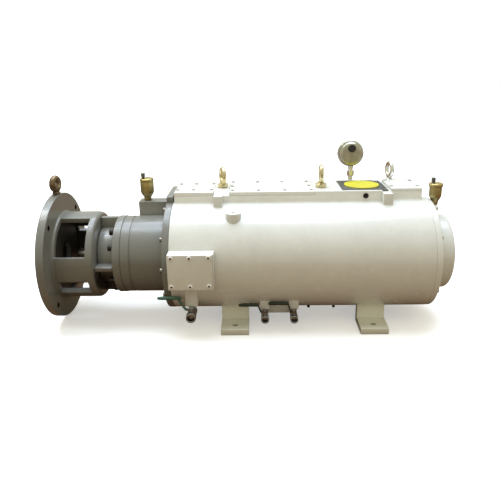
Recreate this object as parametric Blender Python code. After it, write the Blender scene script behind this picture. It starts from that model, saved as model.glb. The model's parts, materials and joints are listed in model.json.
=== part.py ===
"""Dry screw vacuum pump, bare shaft end, on four bolted feet.

Metres, +Z up. X runs along the rotor axis, from the drive flange at -X to the
blind end cover at +X. -Y is the front, where the drain valves are. The origin
is on the floor, midway along the length, under the rotor axis.
"""
import math

import bmesh
import bpy
from mathutils import Matrix, Vector

for old in list(bpy.data.objects):
    bpy.data.objects.remove(old, do_unlink=True)

# ---------------------------------------------------------------- dimensions
GAP = 0.0003            # left between pieces that touch

AXIS_Z = 0.225          # rotor axis above the floor
CASE_R = 0.1866         # pump casing, outer radius
CASE_X0, CASE_X1 = -0.2581, 0.5887
END_PLATE_X1 = 0.6086
END_COVER_R, END_COVER_X1 = 0.1269, 0.6706

DISC_R = 0.2156         # drive flange
DISC_X0, DISC_X1 = -0.6706, -0.6444
DISC_BOLT_R, DISC_HOLE_R = 0.1895, 0.0075
DISC_BORE_R = 0.045
REGISTER_R, REGISTER_DEPTH = 0.150, 0.006
CAGE_R, CAGE_RI = 0.149, 0.129
CAGE_X1 = -0.5370       # end of the windows
RING_X1 = -0.5118       # right face of the cage's ring
RING_BORE_R = 0.090
WINDOW_X0 = -0.6360
WINDOW_UP = (14.4, 71.3)      # degrees above the front
WINDOW_DOWN = (-42.2, -20.6)
WINDOW_BOTTOM = (-112.9, -67.1)
SLOT_REAR = (20.6, 31.2)      # ventilation slot, degrees above the back

HOUSING_X0, HOUSING_X1 = -0.5115, -0.4537
SEAL_X0 = -0.5410       # face of the shaft seal's cover
HOUSING_R = 0.098       # drum between the ribs
GEAR_R = 0.1321
GEAR_X0, GEAR_X1 = -0.4534, -0.2805
FLANGE_X0, FLANGE_X1 = -0.2802, -0.2584

# the deck stands behind the rotor axis, so its front meets the round shell near the top
DECK_X0, DECK_X1 = -0.2538, 0.4740
DECK_Y0, DECK_Y1 = -0.0237, 0.1525
DECK_Z = 0.4333         # deck under the cover plates
PLATE_T = 0.0124
DECK3_Z, DECK3_Y0, DECK3_Y1 = 0.4405, -0.0105, 0.1432
PLATE3_T = 0.0095
INLET_Z = 0.4457        # top of the inlet block
INLET_X0, INLET_X1 = 0.2179, 0.4428
PLATE1_X = (-0.2538, -0.1227)
PLATE2_X = (-0.0693, 0.2174)
PLATE3_X = (0.4756, 0.5780)
INLET_X, INLET_Y = 0.3878, 0.0644       # centre of the inlet
PAD_HALF = 0.0765
CAP_R = 0.0596

SIDE_X = (-0.2579, -0.1175)
SIDE_Z = (0.1765, 0.2925)
SIDE_Y = 0.222          # face of the side covers

FOOT_W = 0.0917
FOOT_X = (-0.0988, 0.3604)
FOOT_T = 0.0221
FOOT_Y0, FOOT_Y1 = 0.0800, 0.1861
FOOT_WALL_Y = 0.1050
FOOT_HOLE_Y, FOOT_HOLE_R = 0.1530, 0.0095

# ---------------------------------------------------------------- materials
def material(name, colour, rough, metal=0.0):
    m = bpy.data.materials.new(name)
    m.use_nodes = True
    s = m.node_tree.nodes["Principled BSDF"]
    s.inputs["Base Color"].default_value = (*colour, 1.0)
    s.inputs["Roughness"].default_value = rough
    s.inputs["Metallic"].default_value = metal
    return m


WHITE = ("white_paint", (0.80, 0.81, 0.79), 0.28, 0.0)
GREY = ("grey_paint", (0.36, 0.37, 0.36), 0.35, 0.0)
STEEL = ("machined_steel", (0.55, 0.55, 0.54), 0.35, 1.0)
DARK = ("dark_steel", (0.16, 0.16, 0.15), 0.45, 1.0)
BRASS = ("dull_brass", (0.50, 0.42, 0.18), 0.38, 1.0)
ZINC = ("yellow_zinc", (0.55, 0.47, 0.25), 0.35, 1.0)
NICKEL = ("dull_nickel", (0.42, 0.39, 0.34), 0.35, 1.0)
TEAL = ("green_grip", (0.07, 0.20, 0.15), 0.5, 0.0)
BLACK_GREEN = ("dark_grip", (0.03, 0.04, 0.02), 0.5, 0.0)
YELLOW = ("yellow_plastic", (0.86, 0.83, 0.08), 0.45, 0.0)
BLACK = ("black_board", (0.05, 0.05, 0.045), 0.6, 0.0)
CASE_STEEL = ("gauge_case_steel", (0.35, 0.35, 0.30), 0.4, 1.0)

# ---------------------------------------------------------------- mesh tools
def raw(bm, name="tmp"):
    """An object from a bmesh, with its faces pointing out."""
    bmesh.ops.remove_doubles(bm, verts=bm.verts, dist=1e-7)
    bmesh.ops.recalc_face_normals(bm, faces=bm.faces)
    me = bpy.data.meshes.new(name)
    bm.to_mesh(me)
    bm.free()
    ob = bpy.data.objects.new(name, me)
    bpy.context.scene.collection.objects.link(ob)
    return ob


def turn(a, b, axis):
    """Axial a, radial pair b -> a point on a body turned about axis."""
    u, v = b
    if axis == "X":
        return (a, u, v)
    if axis == "Y":
        return (v, a, u)
    return (u, v, a)


def lathe(profile, segs, axis="X", at=(0, 0, 0), closed=False, phase=0.0):
    """Turn (axial, radius) points about an axis; ends on it unless closed."""
    bm = bmesh.new()
    rings = []
    for a, r in profile:
        if r < 1e-9:
            rings.append([bm.verts.new(Vector(turn(a, (0, 0), axis)) + Vector(at))])
        else:
            ring = []
            for i in range(segs):
                t = 2 * math.pi * (i + phase) / segs
                ring.append(bm.verts.new(Vector(turn(a, (r * math.cos(t), r * math.sin(t)), axis)) + Vector(at)))
            rings.append(ring)
    pairs = list(zip(rings, rings[1:]))
    if closed:
        pairs.append((rings[-1], rings[0]))
    for p, q in pairs:
        for i in range(segs):
            j = (i + 1) % segs
            if len(p) == 1 and len(q) == 1:
                continue
            if len(p) == 1:
                bm.faces.new((p[0], q[i], q[j]))
            elif len(q) == 1:
                bm.faces.new((p[i], p[j], q[0]))
            else:
                bm.faces.new((p[i], p[j], q[j], q[i]))
    if not closed:
        for ring in (rings[0], rings[-1]):
            if len(ring) > 1:
                bm.faces.new(ring)
    return raw(bm)


def rod(a0, a1, r, segs, axis="X", at=(0, 0, 0), cham=0.0, phase=0.0):
    if cham:
        return lathe([(a0, r - cham), (a0 + cham, r), (a1 - cham, r), (a1, r - cham)], segs, axis, at, phase=phase)
    return lathe([(a0, r), (a1, r)], segs, axis, at, phase=phase)


def box(x0, x1, y0, y1, z0, z1, bevel=0.0, steps=2, edges="all"):
    bm = bmesh.new()
    bmesh.ops.create_cube(bm, size=1.0)
    for v in bm.verts:
        v.co = Vector(((x0 + x1) / 2 + v.co.x * (x1 - x0), (y0 + y1) / 2 + v.co.y * (y1 - y0),
                       (z0 + z1) / 2 + v.co.z * (z1 - z0)))
    if bevel:
        pick = []
        for e in bm.edges:
            d = (e.verts[0].co - e.verts[1].co)
            run = max(range(3), key=lambda k: abs(d[k]))
            if edges == "all" or "XYZ"[run] == edges:
                pick.append(e)
        bmesh.ops.bevel(bm, geom=pick, offset=bevel, segments=steps, affect="EDGES", profile=0.5)
    return raw(bm)


def prism(outline, a0, a1, axis="X"):
    """Extrude a 2-D outline from a0 to a1 along axis."""
    bm = bmesh.new()
    ends = [[bm.verts.new(turn(a, p, axis)) for p in outline] for a in (a0, a1)]
    n = len(outline)
    for i in range(n):
        j = (i + 1) % n
        bm.faces.new((ends[0][i], ends[0][j], ends[1][j], ends[1][i]))
    bm.faces.new(ends[0])
    bm.faces.new(ends[1])
    return raw(bm)


def torus(R, r, segs, sides, centre, normal_angle):
    """Upright ring; its axis lies level, normal_angle degrees from +X."""
    bm = bmesh.new()
    c, s = math.cos(math.radians(normal_angle)), math.sin(math.radians(normal_angle))
    n, e = Vector((c, s, 0)), Vector((-s, c, 0))
    rings = []
    for i in range(segs):
        t = 2 * math.pi * i / segs
        out = e * math.cos(t) + Vector((0, 0, 1)) * math.sin(t)
        rings.append([bm.verts.new(Vector(centre) + out * (R + r * math.cos(2 * math.pi * k / sides))
                                   + n * (r * math.sin(2 * math.pi * k / sides))) for k in range(sides)])
    for i in range(segs):
        p, q = rings[i], rings[(i + 1) % segs]
        for k in range(sides):
            m = (k + 1) % sides
            bm.faces.new((p[k], p[m], q[m], q[k]))
    return raw(bm)


def sweep(path, half_w, half_t, width_axis=(0, 1, 0)):
    """A flat strap along a path in a plane square to width_axis."""
    bm = bmesh.new()
    w = Vector(width_axis)
    pts = [Vector(p) for p in path]
    rings = []
    for i, p in enumerate(pts):
        d = (pts[min(i + 1, len(pts) - 1)] - pts[max(i - 1, 0)]).normalized()
        n = d.cross(w).normalized()
        k = 1.0
        if 0 < i < len(pts) - 1:
            a, b = (pts[i] - pts[i - 1]).normalized(), (pts[i + 1] - pts[i]).normalized()
            k = 1.0 / max(0.5, math.cos(a.angle(b) / 2))
        rings.append([bm.verts.new(p + w * half_w * u + n * half_t * v * k) for u, v in ((-1, -1), (1, -1), (1, 1), (-1, 1))])
    for p, q in zip(rings, rings[1:]):
        for k in range(4):
            m = (k + 1) % 4
            bm.faces.new((p[k], p[m], q[m], q[k]))
    bm.faces.new(rings[0])
    bm.faces.new(rings[-1])
    return raw(bm)


def boolean(target, tool, op):
    """Cut or join in place, then drop the tool."""
    mod = target.modifiers.new("shape", "BOOLEAN")
    mod.operation = op
    mod.solver = "EXACT"
    mod.object = tool
    bpy.context.view_layer.update()
    graph = bpy.context.evaluated_depsgraph_get()
    me = bpy.data.meshes.new_from_object(target.evaluated_get(graph))
    target.modifiers.remove(mod)
    target.data = me
    bpy.data.objects.remove(tool, do_unlink=True)
    return target


def join(target, *tools):
    for t in tools:
        boolean(target, t, "UNION")
    return target


def cut(target, *tools):
    for t in tools:
        boolean(target, t, "DIFFERENCE")
    return target


def piece(name, ob, look, sharp=35.0, pivot=None):
    """Name a finished solid; pivot moves its origin on to a joint's axis."""
    me = ob.data
    bm = bmesh.new()
    bm.from_mesh(me)
    bmesh.ops.remove_doubles(bm, verts=bm.verts, dist=2e-6)
    bmesh.ops.dissolve_degenerate(bm, edges=bm.edges, dist=1e-6)
    bm.to_mesh(me)
    bm.free()
    if pivot:
        me.transform(Matrix.Translation(-Vector(pivot)))
        ob.location = pivot
    me.name = name
    ob.name = name
    me.materials.clear()
    me.materials.append(material(*look) if look[0] not in bpy.data.materials else bpy.data.materials[look[0]])
    me.shade_smooth()
    me.set_sharp_from_angle(angle=math.radians(sharp))
    return ob


def polar(r, degrees):
    """A point at radius r, degrees above the front, as (y, z)."""
    t = math.radians(degrees)
    return -r * math.cos(t), AXIS_Z + r * math.sin(t)


def window(x0, x1, a0, a1, r0, r1, corner, steps=3):
    """Cutter for a round-cornered window in a tube about the axis."""
    rm = (r0 + r1) / 2
    dx, da = corner, math.degrees(corner / rm)
    loop = []
    for cx, ca, t0 in ((x1 - dx, a1 - da, 0), (x0 + dx, a1 - da, 90), (x0 + dx, a0 + da, 180), (x1 - dx, a0 + da, 270)):
        for k in range(steps + 1):
            t = math.radians(t0 + 90 * k / steps)
            loop.append((cx + dx * math.cos(t), ca + da * math.sin(t)))
    # extra points along the curved sides keep the cut walls radial
    dense = []
    for p, q in zip(loop, loop[1:] + loop[:1]):
        dense.append(p)
        n = int(abs(q[1] - p[1]) // 8)
        for k in range(1, n + 1):
            f = k / (n + 1)
            dense.append((p[0] + (q[0] - p[0]) * f, p[1] + (q[1] - p[1]) * f))
    bm = bmesh.new()
    rings = []
    for r in (r0, r1):
        ring = []
        for x, a in dense:
            y, z = polar(r, a)
            ring.append(bm.verts.new((x, y, z)))
        rings.append(ring)
    n = len(dense)
    for i in range(n):
        j = (i + 1) % n
        bm.faces.new((rings[0][i], rings[0][j], rings[1][j], rings[1][i]))
    for ring in rings:
        bmesh.ops.triangulate(bm, faces=[bm.faces.new(ring)])
    return raw(bm)


C = (0, 0, AXIS_Z)

# ---------------------------------------------------------------- drive flange and its cage
lantern = lathe([(DISC_X0, REGISTER_R), (DISC_X0, DISC_R - 0.0015), (DISC_X0 + 0.0015, DISC_R),
                 (DISC_X1 - 0.0015, DISC_R), (DISC_X1, DISC_R - 0.0015),
                 (DISC_X1, CAGE_R + 0.006), (DISC_X1 + 0.0018, CAGE_R + 0.0018), (DISC_X1 + 0.006, CAGE_R),
                 (RING_X1 - 0.0120, CAGE_R), (RING_X1 - 0.0035, CAGE_R - 0.0035), (RING_X1, CAGE_R - 0.0120),
                 (RING_X1, RING_BORE_R), (CAGE_X1, RING_BORE_R), (CAGE_X1, CAGE_RI), (DISC_X1, CAGE_RI),
                 (DISC_X1, DISC_BORE_R), (DISC_X0 + REGISTER_DEPTH, DISC_BORE_R),
                 (DISC_X0 + REGISTER_DEPTH, REGISTER_R)], 60, "X", C, closed=True)
for a0, a1 in (WINDOW_UP, WINDOW_DOWN, WINDOW_BOTTOM, (180 - SLOT_REAR[1], 180 - SLOT_REAR[0]),
               (180 - WINDOW_DOWN[1], 180 - WINDOW_DOWN[0])):
    cut(lantern, window(WINDOW_X0, CAGE_X1 - 0.0005, a0, a1, 0.115, 0.175, 0.009))
for k in (45, 135, 225, 315):
    y, z = polar(DISC_BOLT_R, k)
    cut(lantern, rod(DISC_X0 - 0.01, DISC_X1 + 0.01, DISC_HOLE_R, 12, "X", (0, y, z)))
piece("drive_lantern", lantern, GREY)
# transit cover in the disc's register
piece("bore_cover", lathe([(DISC_X0 + 0.0005, 0), (DISC_X0 + 0.0005, REGISTER_R - 0.0013), (DISC_X0 + 0.0015, REGISTER_R - GAP),
                           (DISC_X0 + REGISTER_DEPTH - GAP, REGISTER_R - GAP), (DISC_X0 + REGISTER_DEPTH - GAP, 0)], 60, "X", C), DARK)

# ---------------------------------------------------------------- bearing housing and shaft end
housing = lathe([(SEAL_X0, 0), (SEAL_X0, 0.070), (SEAL_X0 + 0.0040, 0.074), (HOUSING_X0, 0.074),
                 (HOUSING_X0, HOUSING_R), (HOUSING_X1, HOUSING_R), (HOUSING_X1, 0)], 40, "X", C)
for k in (-4.5, 90, 184.5, 270):      # degrees above the front
    half = 0.0095 if k in (90, 270) else 0.0070
    t = math.radians(k)
    rib = box(HOUSING_X0, HOUSING_X1, -half, half, HOUSING_R - 0.02, 0.134)
    rib.data.transform(Matrix.Translation((0, 0, AXIS_Z)) @ Matrix.Rotation(-t + math.pi / 2, 4, "X"))
    join(housing, rib)
piece("bearing_housing", housing, GREY)

shaft = rod(-0.6000, SEAL_X0 - 0.0005, 0.019, 24, "X", (0, 0, 0), cham=0.001)
cut(shaft, box(-0.61, -0.5560, -0.0050, 0.0050, 0.0145, 0.03))
shaft.location = C
shaft.data.name = "input_shaft"
piece("input_shaft", shaft, STEEL)

# ---------------------------------------------------------------- gear case
gear = lathe([(GEAR_X0, 0), (GEAR_X0, GEAR_R - 0.001), (GEAR_X0 + 0.001, GEAR_R + 0.0012), (-0.4285, GEAR_R + 0.0012),
              (-0.4275, GEAR_R - 0.0002), (-0.3990, GEAR_R - 0.0002), (-0.3982, GEAR_R - 0.0022), (-0.3930, GEAR_R - 0.0022),
              (-0.3922, GEAR_R), (GEAR_X1, GEAR_R), (GEAR_X1, 0)], 56, "X", C)
piece("gear_case", gear, GREY)

flange = lathe([(FLANGE_X0, 0), (FLANGE_X0, 0.1862), (FLANGE_X0 + 0.001, 0.1872), (FLANGE_X1 - 0.001, 0.1872), (FLANGE_X1, 0.1862),
                (FLANGE_X1, 0)], 72, "X", C)
join(flange, prism([(-0.0225, 0.30), (-0.0225, 0.4325), (0.1505, 0.4325), (0.1505, 0.30)], FLANGE_X0, FLANGE_X1, "X"))
piece("gear_case_flange", flange, GREY)

vent_box = box(-0.3900, GEAR_X1, 0.044, 0.096, AXIS_Z + 0.05, 0.400, 0.002, 1)
cut(vent_box, rod(GEAR_X0 - 0.01, GEAR_X1 + 0.01, GEAR_R + GAP + 0.0013, 72, "X", C))
piece("vent_box", vent_box, GREY)

# ---------------------------------------------------------------- casing
casing = rod(CASE_X0, CASE_X1, CASE_R, 96, "X", C)


def deck(x0, x1, y0, y1, top):
    """Part of the deck; it is sunk in the round shell, which ends its walls."""
    return box(x0, x1, y0, y1, 0.3000, top)


# heights and ends of the parts differ a little, so no two faces fall on one plane
join(casing, deck(DECK_X0, DECK_X1, DECK_Y0, DECK_Y1, DECK_Z))
join(casing, deck(INLET_X0, INLET_X1, DECK_Y0, DECK_Y1, INLET_Z))
join(casing, deck(0.4600, PLATE3_X[1], DECK3_Y0, DECK3_Y1, DECK3_Z))
# pad under the lifting eye, between the two cover plates
join(casing, prism([(-0.0227, 0.42), (-0.0227, 0.4337), (0.0190, INLET_Z), (0.1090, INLET_Z), (0.1515, 0.4337), (0.1515, 0.42)], -0.1217, -0.0703, "X"))
# square bosses on the deck's front
join(casing, box(-0.1204, -0.0909, -0.0574, 0.0060, 0.36, 0.4387))
join(casing, box(0.4410, 0.4728, -0.0524, 0.0110, 0.36, 0.4415))
# the board's pocket
h = PAD_HALF + 0.001
cut(casing, box(INLET_X - h, INLET_X + h, INLET_Y - h, INLET_Y + h, 0.4408, 0.46))
# lug behind the deck for the lifting eye
join(casing, box(0.4870, 0.5285, 0.1300, 0.1815, 0.3950, DECK_Z))
# round boss on the casing's upper front
join(casing, rod(0.33, 0.396, 0.0257, 32, "Z", (-0.0533, -0.099, 0)))
# side cover seats, front and back
for s in (-1, 1):
    join(casing, box(SIDE_X[0], SIDE_X[1] + 0.004, min(s * 0.1, s * 0.2117), max(s * 0.1, s * 0.2117), SIDE_Z[0] - 0.001, SIDE_Z[1]))
# square column over the first drain valve, and square bosses over the other two
join(casing, box(-0.2135, -0.1725, -0.1730, -0.1280, 0.0990, 0.17))
for x in (0.0466, 0.1425):
    join(casing, box(x - 0.0165, x + 0.0165, -0.1410, -0.1075, 0.0720, 0.13))
# water gallery between them
join(casing, box(0.040, 0.150, -0.108, -0.070, 0.0420, 0.12))
piece("main_casing", casing, WHITE)

end_plate = rod(CASE_X1 + GAP, END_PLATE_X1, CASE_R, 96, "X", C)
piece("end_plate", end_plate, WHITE)
R, E = 0.014, END_COVER_X1
cover = lathe([(END_PLATE_X1 + GAP, 0), (END_PLATE_X1 + GAP, END_COVER_R)]
              + [(E - R + R * math.sin(math.radians(a)), END_COVER_R - R + R * math.cos(math.radians(a))) for a in (0, 30, 60, 90)]
              + [(E, 0)], 56, "X", C)
piece("end_cover", cover, WHITE)

piece("top_cover_drive_end", box(*PLATE1_X, DECK_Y0 + 0.0005, DECK_Y1 - 0.0005, DECK_Z + GAP, DECK_Z + PLATE_T, 0.0012, 1), WHITE)
piece("top_cover_middle", box(*PLATE2_X, DECK_Y0 + 0.0005, DECK_Y1 - 0.0005, DECK_Z + GAP, DECK_Z + PLATE_T, 0.0012, 1), WHITE)
piece("top_cover_far_end", box(*PLATE3_X, DECK3_Y0 + 0.0005, DECK3_Y1 - 0.0005, DECK3_Z + GAP, DECK3_Z + PLATE3_T, 0.0012, 1), WHITE)
for s, tag in ((-1, "front"), (1, "rear")):
    y0, y1 = sorted((s * 0.2120, s * SIDE_Y))
    piece("side_cover_" + tag, box(SIDE_X[0], SIDE_X[1], y0, y1, *SIDE_Z, 0.0015, 1), WHITE)

# ---------------------------------------------------------------- inlet
pad = box(INLET_X - PAD_HALF, INLET_X + PAD_HALF, INLET_Y - PAD_HALF, INLET_Y + PAD_HALF, 0.4411, 0.4459)
piece("inlet_board", pad, BLACK)
cap = lathe([(0.4462, 0), (0.4462, CAP_R), (0.4488, CAP_R), (0.4496, CAP_R - 0.001), (0.4498, CAP_R - 0.003), (0.4498, 0)],
            48, "Z", (INLET_X, INLET_Y, 0))
piece("inlet_cap", cap, YELLOW)
plug = rod(DECK_Y0 - 0.0029, DECK_Y0 - GAP, 0.0090, 20, "Y", (0.3872, 0, 0.4288), cham=0.0008)
piece("port_plug", plug, DARK)

# ---------------------------------------------------------------- lifting eyes
def eye(name, x, y, z, height, ring_r, wire_r, collar_r, collar_h, angle):
    """Shouldered eye bolt standing on z; height is to the top of its ring."""
    zc = z + height - ring_r - wire_r
    top = max(zc - ring_r + wire_r * 0.3, z + collar_h + 0.0035)
    ob = lathe([(z, 0), (z, collar_r - 0.001), (z + 0.001, collar_r), (z + collar_h, collar_r), (z + collar_h + 0.003, min(wire_r * 1.5, collar_r - 0.002)),
                (top, wire_r * 0.9), (top, 0)], 16, "Z", (x, y, 0))
    join(ob, torus(ring_r, wire_r, 20, 8, (x, y, zc), angle))
    return piece(name, ob, ZINC)


eye("eye_drive_flange", -0.6568, 0.0, AXIS_Z + DISC_R + GAP, 0.0637, 0.0200, 0.0090, 0.0135, 0.005, -9)
eye("eye_deck_drive_end", -0.0942, 0.0593, INLET_Z + GAP, 0.0697, 0.0249, 0.0073, 0.0181, 0.0124, 17)
eye("eye_deck_inlet", 0.2448, 0.0437, INLET_Z + GAP, 0.0785, 0.0249, 0.0073, 0.0187, 0.0124, -3)
eye("eye_deck_far_end", 0.5071, 0.1624, DECK_Z + GAP, 0.0795, 0.0249, 0.0073, 0.0181, 0.0124, 8)

# ---------------------------------------------------------------- air vents
def vent(name, x, y, z0, z1, neck_r, waist, bowl_r):
    """Float vent: a neck, a cone up to the bowl at waist, and a lid."""
    ob = lathe([(z0, 0), (z0, neck_r), (z0 + waist * 0.36, neck_r), (z0 + waist * 0.90, bowl_r - 0.0008), (z0 + waist, bowl_r), (z1 - 0.0112, bowl_r),
                (z1 - 0.0112, 0.0240), (z1 - 0.0025, 0.0240), (z1, 0.0210), (z1, 0)],
               24, "Z", (x, y, 0))
    return piece(name, ob, BRASS)


vent("air_vent_drive_end", -0.3615, 0.070, 0.400 + GAP, 0.4785, 0.0130, 0.0287, 0.0232)
piece("vent_screw_drive_end", rod(0.4785 + GAP, 0.4970, 0.0070, 16, "Z", (-0.3720, 0.064, 0), cham=0.0008), DARK)
VX2 = 0.6255
vent("air_vent_far_end", VX2, 0.0, 0.3905 + GAP, 0.4655, 0.0112, 0.030, 0.0205)
piece("vent_screw_far_end", rod(0.4655 + GAP, 0.4840, 0.0070, 16, "Z", (VX2 - 0.0110, -0.004, 0), cham=0.0008), DARK)
nipple = rod(AXIS_Z + 0.10, 0.3905, 0.0088, 20, "Z", (VX2, 0, 0))
cut(nipple, rod(0.60, 0.68, END_COVER_R + GAP, 72, "X", C))
piece("vent_nipple", nipple, STEEL)

# ---------------------------------------------------------------- pressure gauge, facing the back
GX, GY, GZ = 0.3682, 0.1971, 0.5369
case = lathe([(GY - 0.0342, 0), (GY - 0.0342, 0.0399), (GY - 0.0301, 0.0425), (GY - 0.0083, 0.0430), (GY - 0.0083, 0.0472), (GY + 0.0021, 0.0477),
              (GY + 0.0047, 0.0456), (GY + 0.0047, 0.0415), (GY + 0.0016, 0.0399), (GY + 0.0016, 0)], 36, "Y", (GX, 0, GZ))
piece("gauge_case", case, CASE_STEEL)
stem = rod(0.4333, GZ - 0.030, 0.0088, 16, "Z", (GX, GY - 0.0187, 0))
join(stem, rod(0.4560, 0.4747, 0.0128, 6, "Z", (GX, GY - 0.0187, 0), phase=0.5))
cut(stem, rod(GY - 0.06, GY + 0.02, 0.0435, 36, "Y", (GX, 0, GZ)))
seat = box(GX - 0.0145, GX + 0.0145, DECK_Y1 + GAP, GY, 0.4104, 0.4330, 0.0015, 1)
piece("gauge_stem", stem, STEEL)
piece("gauge_bracket", seat, WHITE)
piece("gauge_relief_plug", rod(GY - 0.0384, GY - 0.0342 - GAP, 0.0140, 20, "Y", (GX, 0, GZ + 0.0218), cham=0.001), BLACK)

# ---------------------------------------------------------------- drain valves
def valve(tag, x, y, top, axis_z, stem_y, mouth_y, r, hex_r, bore_r, grip, neck, grip_z, look):
    """Quarter-turn valve: nipple down from its boss, outlet to the front."""
    body = rod(axis_z, top - GAP, hex_r, 6, "Z", (x, y, 0), phase=0.5)
    join(body, lathe([(y + r * 0.95, 0), (y + r * 0.95, r * 0.75), (y + r * 0.5, r * 1.02), (stem_y - 0.009, r * 1.02), (stem_y - 0.0095, r * 0.86),
                      (mouth_y + 0.0125, r * 0.86), (mouth_y + 0.012, r * 1.12), (mouth_y, r * 1.12), (mouth_y, 0)],
                     20, "Y", (x, 0, axis_z)))
    hub_z = axis_z + r * 1.02 + 0.0045
    join(body, rod(axis_z, hub_z - 0.0008, 0.0062, 12, "Z", (x, stem_y, 0)))
    join(body, rod(axis_z, hub_z + 0.0070, 0.0036, 12, "Z", (x, stem_y, 0)))
    cut(body, rod(mouth_y - 0.01, mouth_y + 0.020, bore_r, 20, "Y", (x, 0, axis_z)))
    piece("valve_body_" + tag, body, NICKEL)
    # lever: a strap up from the stem with a dipped grip
    lever = rod(hub_z, hub_z + 0.0030, 0.0082, 20, "Z", (x, stem_y, 0))
    path = [(x, stem_y, hub_z + 0.0015), (x - neck[0], stem_y, hub_z + 0.0015), (x - neck[1], stem_y, grip_z - 0.001), (x - grip[0] - 0.012, stem_y, grip_z)]
    join(lever, sweep(path, 0.0055, 0.0015))
    g = lathe([(x - grip[1], 0), (x - grip[1], 0.0045), (x - grip[1] + 0.002, 0.0064), (x - grip[0] - 0.002, 0.0064), (x - grip[0], 0.0045), (x - grip[0], 0)],
              12, "X", (0, stem_y, grip_z), phase=0.5)
    join(lever, g)
    cut(lever, rod(hub_z - 0.01, hub_z + 0.02, 0.0041, 16, "Z", (x, stem_y, 0)))
    piece("valve_lever_" + tag, lever, look, pivot=(x, stem_y, hub_z))


valve("1", -0.1930, -0.1515, 0.0990, 0.0735, -0.1850, -0.2080, 0.0145, 0.0140, 0.0115, (0.0300, 0.1080), (0.014, 0.046), 0.1350, TEAL)
valve("2", 0.0466, -0.1250, 0.0720, 0.0507, -0.1560, -0.1780, 0.0118, 0.0125, 0.0088, (0.0230, 0.0870), (0.0105, 0.0250), 0.0950, BLACK_GREEN)
valve("3", 0.1425, -0.1250, 0.0720, 0.0507, -0.1560, -0.1780, 0.0118, 0.0125, 0.0088, (0.0190, 0.0850), (0.0100, 0.0200), 0.1000, BLACK_GREEN)

for tag, x in (("1", 0.1976), ("2", 0.2836)):
    d = rod(0.0500, 0.0800, 0.0052, 12, "Z", (x, -0.080, 0))
    cut(d, rod(CASE_X0, CASE_X1, CASE_R + GAP, 96, "X", C))
    piece("drain_plug_" + tag, d, DARK)

# ---------------------------------------------------------------- feet
for x, end in zip(FOOT_X, ("drive_end", "far_end")):
    for s, side in ((-1, "front"), (1, "rear")):
        y0, y1 = sorted((s * FOOT_Y0, s * FOOT_Y1))
        foot = box(x, x + FOOT_W, y0, y1, 0.0, FOOT_T)
        w0, w1 = sorted((s * FOOT_Y0, s * FOOT_WALL_Y))
        join(foot, box(x, x + FOOT_W, w0, w1, FOOT_T - 0.01, 0.10))
        cut(foot, rod(CASE_X0, CASE_X1, CASE_R + GAP, 96, "X", C))
        cut(foot, rod(-0.01, 0.04, FOOT_HOLE_R, 20, "Z", (x + FOOT_W / 2, s * FOOT_HOLE_Y, 0)))
        piece("foot_%s_%s" % (side, end), foot, WHITE)
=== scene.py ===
"""Looks of the screw vacuum pump: fine geometry, bolts, finishes, light and camera.

Everything is in the CAD frame: metres, +Z up, X along the rotor axis from the
drive flange (-X) to the end cover (+X), -Y the front with the drain valves.
"""
import json
import math

import bmesh
import bpy
from mathutils import Matrix, Vector


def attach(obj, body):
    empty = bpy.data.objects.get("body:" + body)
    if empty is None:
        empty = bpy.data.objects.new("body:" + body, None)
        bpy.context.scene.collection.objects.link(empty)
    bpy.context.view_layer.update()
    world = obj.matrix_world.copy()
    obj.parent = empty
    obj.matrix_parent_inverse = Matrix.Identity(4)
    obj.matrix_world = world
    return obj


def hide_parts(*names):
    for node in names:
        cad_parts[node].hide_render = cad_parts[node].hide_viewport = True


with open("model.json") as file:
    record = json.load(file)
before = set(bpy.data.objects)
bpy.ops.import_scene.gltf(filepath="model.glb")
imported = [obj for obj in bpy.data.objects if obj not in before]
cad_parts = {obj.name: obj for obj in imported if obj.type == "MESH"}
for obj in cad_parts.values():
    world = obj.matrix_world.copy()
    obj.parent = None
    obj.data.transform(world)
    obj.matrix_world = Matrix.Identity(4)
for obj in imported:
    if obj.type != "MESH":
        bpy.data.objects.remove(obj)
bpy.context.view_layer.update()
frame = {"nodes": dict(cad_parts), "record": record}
NODES = frame["nodes"]

# ---------------------------------------------------------------- dimensions, as in the CAD
GAP = 0.0003
AXIS_Z = 0.225
C = Vector((0, 0, AXIS_Z))
CASE_R = 0.1866
CASE_X0, CASE_X1 = -0.2581, 0.5887
END_PLATE_X1 = 0.6086
END_COVER_R, END_COVER_X1 = 0.1269, 0.6706
DISC_R = 0.2156
DISC_X0, DISC_X1 = -0.6706, -0.6444
DISC_BOLT_R, DISC_HOLE_R = 0.1895, 0.0075
DISC_BORE_R = 0.045
REGISTER_R, REGISTER_DEPTH = 0.150, 0.006
CAGE_R, CAGE_RI = 0.149, 0.129
CAGE_X1 = -0.5370
RING_X1 = -0.5118
RING_BORE_R = 0.090
WINDOW_X0 = -0.6360
WINDOWS = ((14.4, 71.3), (-42.2, -20.6), (-112.9, -67.1), (180 - 31.2, 180 - 20.6), (180 + 20.6, 180 + 42.2))
HOUSING_X0, HOUSING_X1 = -0.5115, -0.4537
SEAL_X0 = -0.5410
HOUSING_R = 0.098
GEAR_R = 0.1321
GEAR_X0, GEAR_X1 = -0.4534, -0.2805
FLANGE_X0, FLANGE_X1 = -0.2802, -0.2584
DECK_X0, DECK_X1 = -0.2538, 0.4740
DECK_Y0, DECK_Y1 = -0.0237, 0.1525
DECK_Z, PLATE_T = 0.4333, 0.0124
DECK3_Z, DECK3_Y0, DECK3_Y1, PLATE3_T = 0.4405, -0.0105, 0.1432, 0.0095
INLET_Z, INLET_X0, INLET_X1 = 0.4457, 0.2179, 0.4428
PLATE1_X = (-0.2538, -0.1227)
PLATE2_X = (-0.0693, 0.2174)
PLATE3_X = (0.4756, 0.5780)
INLET_X, INLET_Y, PAD_HALF, CAP_R = 0.3878, 0.0644, 0.0765, 0.0596
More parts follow.
